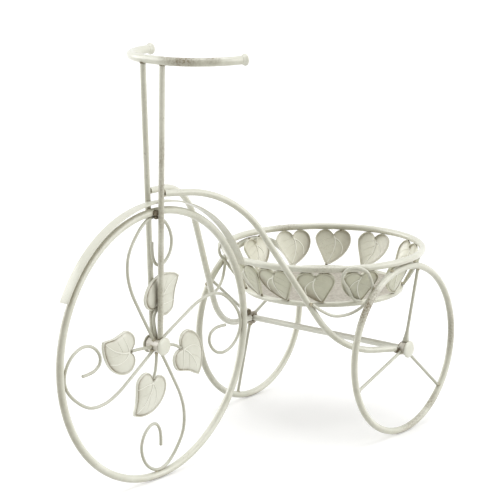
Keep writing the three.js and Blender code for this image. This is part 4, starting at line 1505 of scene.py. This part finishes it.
@dataclass
class SideFrame(Assembly):
    """The frame tubes from the fork to the rear hubs, and the scroll braces on them."""

    fork: Fork
    rear: RearAxle
    basket: Basket
    tube: float = 8.0
    fork_height: float = 346.0
    top_run: float = 97.7  # length of the gentle stretch behind the fork
    falls: tuple[float, float, float] = (4.4, 58.9, 6.8)  # of the gentle, steep and last stretch
    spreads: tuple[float, float] = (75.4, 194.0)  # between the pair, where the falls change
    bends: tuple[float, float] = (134.0, 119.0)
    brace_start: float = 188.0  # behind the fork
    brace_sag: float = 24.0
    brace_rim_angle: float = 55.4  # where a brace touches the rear rim
    # Share of the way to the rim, and of the sag, of each point of a brace's belly.
    belly: Route = ((0.13, 0.4), (0.34, 0.87), (0.54, 1.0), (0.71, 0.93), (0.88, 0.65))
    # Turn from the rim, share of the basket's depth, and how far in on the leaves, of each point of
    # a brace's hook.
    hook: tuple[tuple[float, float, float], ...] = (
        (-0.5, 0.36, 0.45), (-1.7, 0.23, 0.6), (-3.6, 0.1, 0.3), (-6.3, 0.0, 0.0), (-9.8, -0.05, 0.0),
        (-12.8, -0.05, 0.0), (-15.3, -0.01, 0.0), (-16.8, 0.07, 0.0), (-17.5, 0.18, 0.6),
        (-16.4, 0.31, 1.0), (-13.8, 0.48, 1.0), (-11.2, 0.66, 1.0), (-9.0, 0.8, 1.0),
        (-6.6, 0.87, 1.0), (-2.2, 0.92, 1.0),
    )

    def __post_init__(self) -> None:
        """Work out the corners of a tube's line: distance behind the fork, half the spread, height."""
        top, steep, end = (math.tan(math.radians(fall)) for fall in self.falls)
        rear = self.rear.middle(Side.LEFT)
        base = (self.fork.wheel.hub.x - rear.x) / MM
        axle_z = rear.z / MM
        upper = self.fork_height - self.top_run * top
        lower_run = (upper - axle_z + self.top_run * steep - base * end) / (steep - end)
        end_run = base - self.rear.barrel_diameter / 2
        inside = middle_of("rear_hub_left").y / MM - self.rear.barrel_length / 2
        self.corners = (
            (0.0, self.fork.leg_point(self.fork_height, Side.LEFT).y / MM, self.fork_height),
            (self.top_run, self.spreads[0] / 2, upper),
            (lower_run, self.spreads[1] / 2, axle_z + (base - lower_run) * end),
            (end_run, inside, axle_z + (base - end_run) * end),
        )

    def corner(self, index: int, side: Side) -> Vector:
        """Return one corner of a tube's line."""
        behind, spread, height = self.corners[index]
        return Vector((self.fork.wheel.hub.x - behind * MM, side.value * spread * MM, height * MM))

    def stretch_point(self, index: int, behind: float, side: Side) -> Vector:
        """Return a point so far behind the fork, on the straight stretch after a corner."""
        here, there = self.corners[index][0], self.corners[index + 1][0]
        share = (behind - here) / (there - here)
        return self.corner(index, side).lerp(self.corner(index + 1, side), share)

    def tube_path(self, side: Side, steps: int = 14) -> list[Vector]:
        """Return a tube's middle line, with its two bends rounded.

        Args:
            side: The tube's side.
            steps: How many steps each bend has.

        Returns:
            The path.
        """
        first = self.stretch_point(0, self.fork.leg_tube / 2 + self.gap, side)
        last = self.stretch_point(2, self.corners[3][0] - self.gap, side)
        marks = [first, self.corner(1, side), self.corner(2, side), last]
        path = [first]
        for before, mark, after, bend_radius in zip(marks, marks[1:], marks[2:], self.bends):
            radius = bend_radius * MM
            arriving = (mark - before).normalized()
            leaving = (after - mark).normalized()
            bend = arriving.angle(leaving)
            start = mark - arriving * radius * math.tan(bend / 2)
            inward = (leaving - arriving * leaving.dot(arriving)).normalized()
            for step in range(steps + 1):
                angle = bend * step / steps
                ahead, aside = math.sin(angle), 1 - math.cos(angle)
                path.append(start + arriving * radius * ahead + inward * radius * aside)
        return [*path, last]

    def tubes(self) -> None:
        """Bend both frame tubes and weld their ends, the right side more roughly."""
        bright, dark = [], []
        for side in Side:
            path = self.tube_path(side)
            bar = Bench.smooth(Bench.bar(path, self.tube, 7))
            self.dress(bar, f"side_tube_{side.word}", "ivory_frame_paint", f"frame_tube_{side.word}")
            start = path[0] + mm(0.6, 0, 0)
            seed = 150 + 4 * side.value
            heads = bright if side is Side.LEFT else dark
            heads.append(Bench.lump(start + UP * 2.6 * MM, (3.2, 6.4, 3.4), seed))
            heads.append(Bench.lump(start - UP * 2.8 * MM, (3.0, 6.0, 3.2), seed + 1))
            dark.append(Bench.lump(path[-1] + mm(2.0, 0, -0.3), (4.6, 10.2, 9.4), seed + 2))
        dark.append(Bench.lump(path[-1] + mm(3.4, 1.6, 9.4), (8.4, 6.6, 8.0), 159))
        self.weld(dark, "frame_welds", "dark_weld")
        self.weld(bright, "left_head_weld", "painted_weld")

    def brace_path(self, side: Side) -> list[Vector]:
        """Return the points that a brace passes through.

        Args:
            side: The brace's side.

        Returns:
            The points: its start, its belly, where it touches the rim, and its hook.
        """
        wire, rear, basket = self.fork.wheel.wire, self.rear, self.basket
        steep = (self.corner(2, side) - self.corner(1, side)).normalized()
        beside = ((self.tube + wire) / 2 + self.gap) / math.sqrt(1 - steep.y**2)
        start = self.stretch_point(1, self.brace_start, side) + mm(0, side.value * beside, 0)
        contact = wheel_point(rear.middle(side), rear.rim_radius, self.brace_rim_angle)
        contact.y -= side.value * ((rear.rim_tube + wire) / 2 + self.gap) * MM
        points = [start]
        for share, depth in self.belly:
            points.append(start.lerp(contact, share) - UP * self.brace_sag * depth * MM)
        points.append(contact)
        contact_angle = math.degrees(math.atan2(abs(contact.y), contact.x - basket.top.x))
        depth_of_basket = (basket.top.z - basket.bottom.z) / MM
        upright = basket.top_radius + (basket.top_tube + wire) / 2 + self.gap
        foot = basket.bottom_radius + (basket.bottom_tube + wire) / 2 + self.gap
        bulge = (basket.leaf.width / 2) ** 2 / (2 * basket.top_radius)
        for turn, drop, inward in self.hook:
            sloped = upright + (foot - upright) * drop + bulge * (1 - drop)
            radius = upright + (sloped - upright) * inward
            point = basket.radial(radius, contact_angle + turn, basket.top.z - depth_of_basket * drop * MM)
            point.y *= side.value
            points.append(point)
        return points

    def braces(self) -> None:
        """Bend both scroll braces and weld them on."""
        lumps = []
        for side in Side:
            marks = self.brace_path(side)
            brace = Bench.bend(marks, self.fork.wheel.wire, 6)
            self.dress(brace, f"brace_{side.word}", "ivory_brace_paint", f"scroll_brace_{side.word}")
            seed = 170 + 3 * side.value
            lumps.append(Bench.lump(marks[0] - mm(0, side.value * 1.4, 0), (5.0, 4.0, 5.4), seed))
            touch = marks[len(self.belly) + 1] + mm(0, side.value * 2.0, 0)
            lumps.append(Bench.lump(touch, (5.6, 3.4, 5.8), seed + 1))
            rim = self.rear.middle(side)
            for index, ahead in enumerate((-20.0, 30.0)):
                height = math.sqrt(self.rear.rim_radius**2 - ahead**2) + self.rear.rim_tube / 2
                spot = Vector((rim.x + ahead * MM, rim.y, rim.z + height * MM))
                lumps.append(Bench.lump(spot, (7.0, 4.6, 2.6), seed + 20 + index))
        self.weld(lumps, "brace_welds", "painted_weld")

    def build(self) -> None:
        """Build the tubes and braces."""
        self.tubes()
        self.braces()


# ---- Studio ---------------------------------------------------------------------------------------


@dataclass(frozen=True)
class Studio:
    """A white floor, a white surround, soft light and the camera."""

    camera_place: tuple[float, float, float] = (1.753692, 1.46991, 0.770692)
    camera_right: Direction = (-0.6357209, 0.7719037, -0.0037491)
    camera_up: Direction = (-0.1728946, -0.1376512, 0.9752769)
    lens: float = 138.756  # on a sensor 36 mm wide
    sky: float = 0.4
    # Name, strength and direction of each large lamp; none stands at the camera.
    lights: tuple[tuple[str, float, Direction], ...] = (
        ("right_light", 1.7, (-0.4, 0.9, 0.3)),
        ("left_light", 1.9, (0.45, -0.93, 0.3)),
        ("top_light", 1.4, (-0.1, 0.0, 1.0)),
    )
    light_width: float = 50.0
    floor_tone: float = 0.8

    def camera(self) -> None:
        """Place the camera."""
        right, up = Vector(self.camera_right).normalized(), Vector(self.camera_up).normalized()
        data = bpy.data.cameras.new("photo_camera")
        data.lens = self.lens
        data.sensor_width = 36.0
        data.clip_end = 100.0
        camera = bpy.data.objects.new("photo_camera", data)
        turn = Matrix((right, up, right.cross(up))).transposed().to_4x4()
        camera.matrix_world = Matrix.Translation(self.camera_place) @ turn
        bpy.context.scene.collection.objects.link(camera)
        bpy.context.scene.camera = camera

    def surround(self) -> None:
        """Surround the stand with white that lights it more softly than it looks."""
        shader = Shader(bpy.data.worlds.new("white_surround"))
        reach = {"Value": shader.looked_at(), "To Min": self.sky, "To Max": 1.0}
        strength = shader.node("ShaderNodeMapRange", reach)
        white = {"Color": (1.0, 1.0, 1.0), "Strength": strength}
        bpy.context.scene.world = shader.finish(shader.node("ShaderNodeBackground", white))

    def lamps(self) -> None:
        """Hang the large soft lamps."""
        for name, strength, place in self.lights:
            data = bpy.data.lights.new(name, "SUN")
            data.energy = strength
            data.angle = math.radians(self.light_width)
            lamp = bpy.data.objects.new(name, data)
            lamp.rotation_mode = "QUATERNION"
            lamp.rotation_quaternion = Vector(place).to_track_quat("Z", "Y")
            bpy.context.scene.collection.objects.link(lamp)

    def floor(self) -> None:
        """Lay the white floor, which keeps the stand's shadow."""
        Bench.clear()
        bpy.ops.mesh.primitive_plane_add(size=80.0, location=(0, 0, 0))
        floor = bpy.context.object
        floor.name = "floor"
        shader = Shader(bpy.data.materials.new("white_floor"))
        matt = shader.node("ShaderNodeBsdfDiffuse", {"Color": (self.floor_tone,) * 3})
        lift = shader.node("ShaderNodeEmission", {"Color": (1.0, 1.0, 0.99), "Strength": 0.3})
        both = shader.node("ShaderNodeAddShader", {0: matt, 1: lift})
        surface = shader.node("ShaderNodeMixShader", {0: shader.looked_at(), 1: matt, 2: both})
        floor.data.materials.append(shader.finish(surface))

    def build(self) -> None:
        """Set up the studio."""
        bpy.context.scene.view_settings.view_transform = "Standard"
        self.surround()
        self.lamps()
        self.floor()


def main() -> None:
    """Build the stand piece by piece and set up the studio."""
    logging.basicConfig(level=logging.INFO, format="%(message)s")
    studio = Studio()
    studio.camera()
    worn = (middle_of("front_hub"), middle_of("rear_rim_left"), middle_of("basket_top_ring"))
    finishes = mix_finishes(*worn)
    wheel = FrontWheel(finishes)
    fork = Fork(finishes, wheel)
    rear = RearAxle(finishes)
    basket = Basket(finishes, rear)
    side_frame = SideFrame(finishes, fork, rear, basket)
    for part in (wheel, fork, rear, basket, side_frame, studio):
        part.build()
        LOG.info("finished %s", type(part).__name__)


if __name__ == "__main__":
    main()
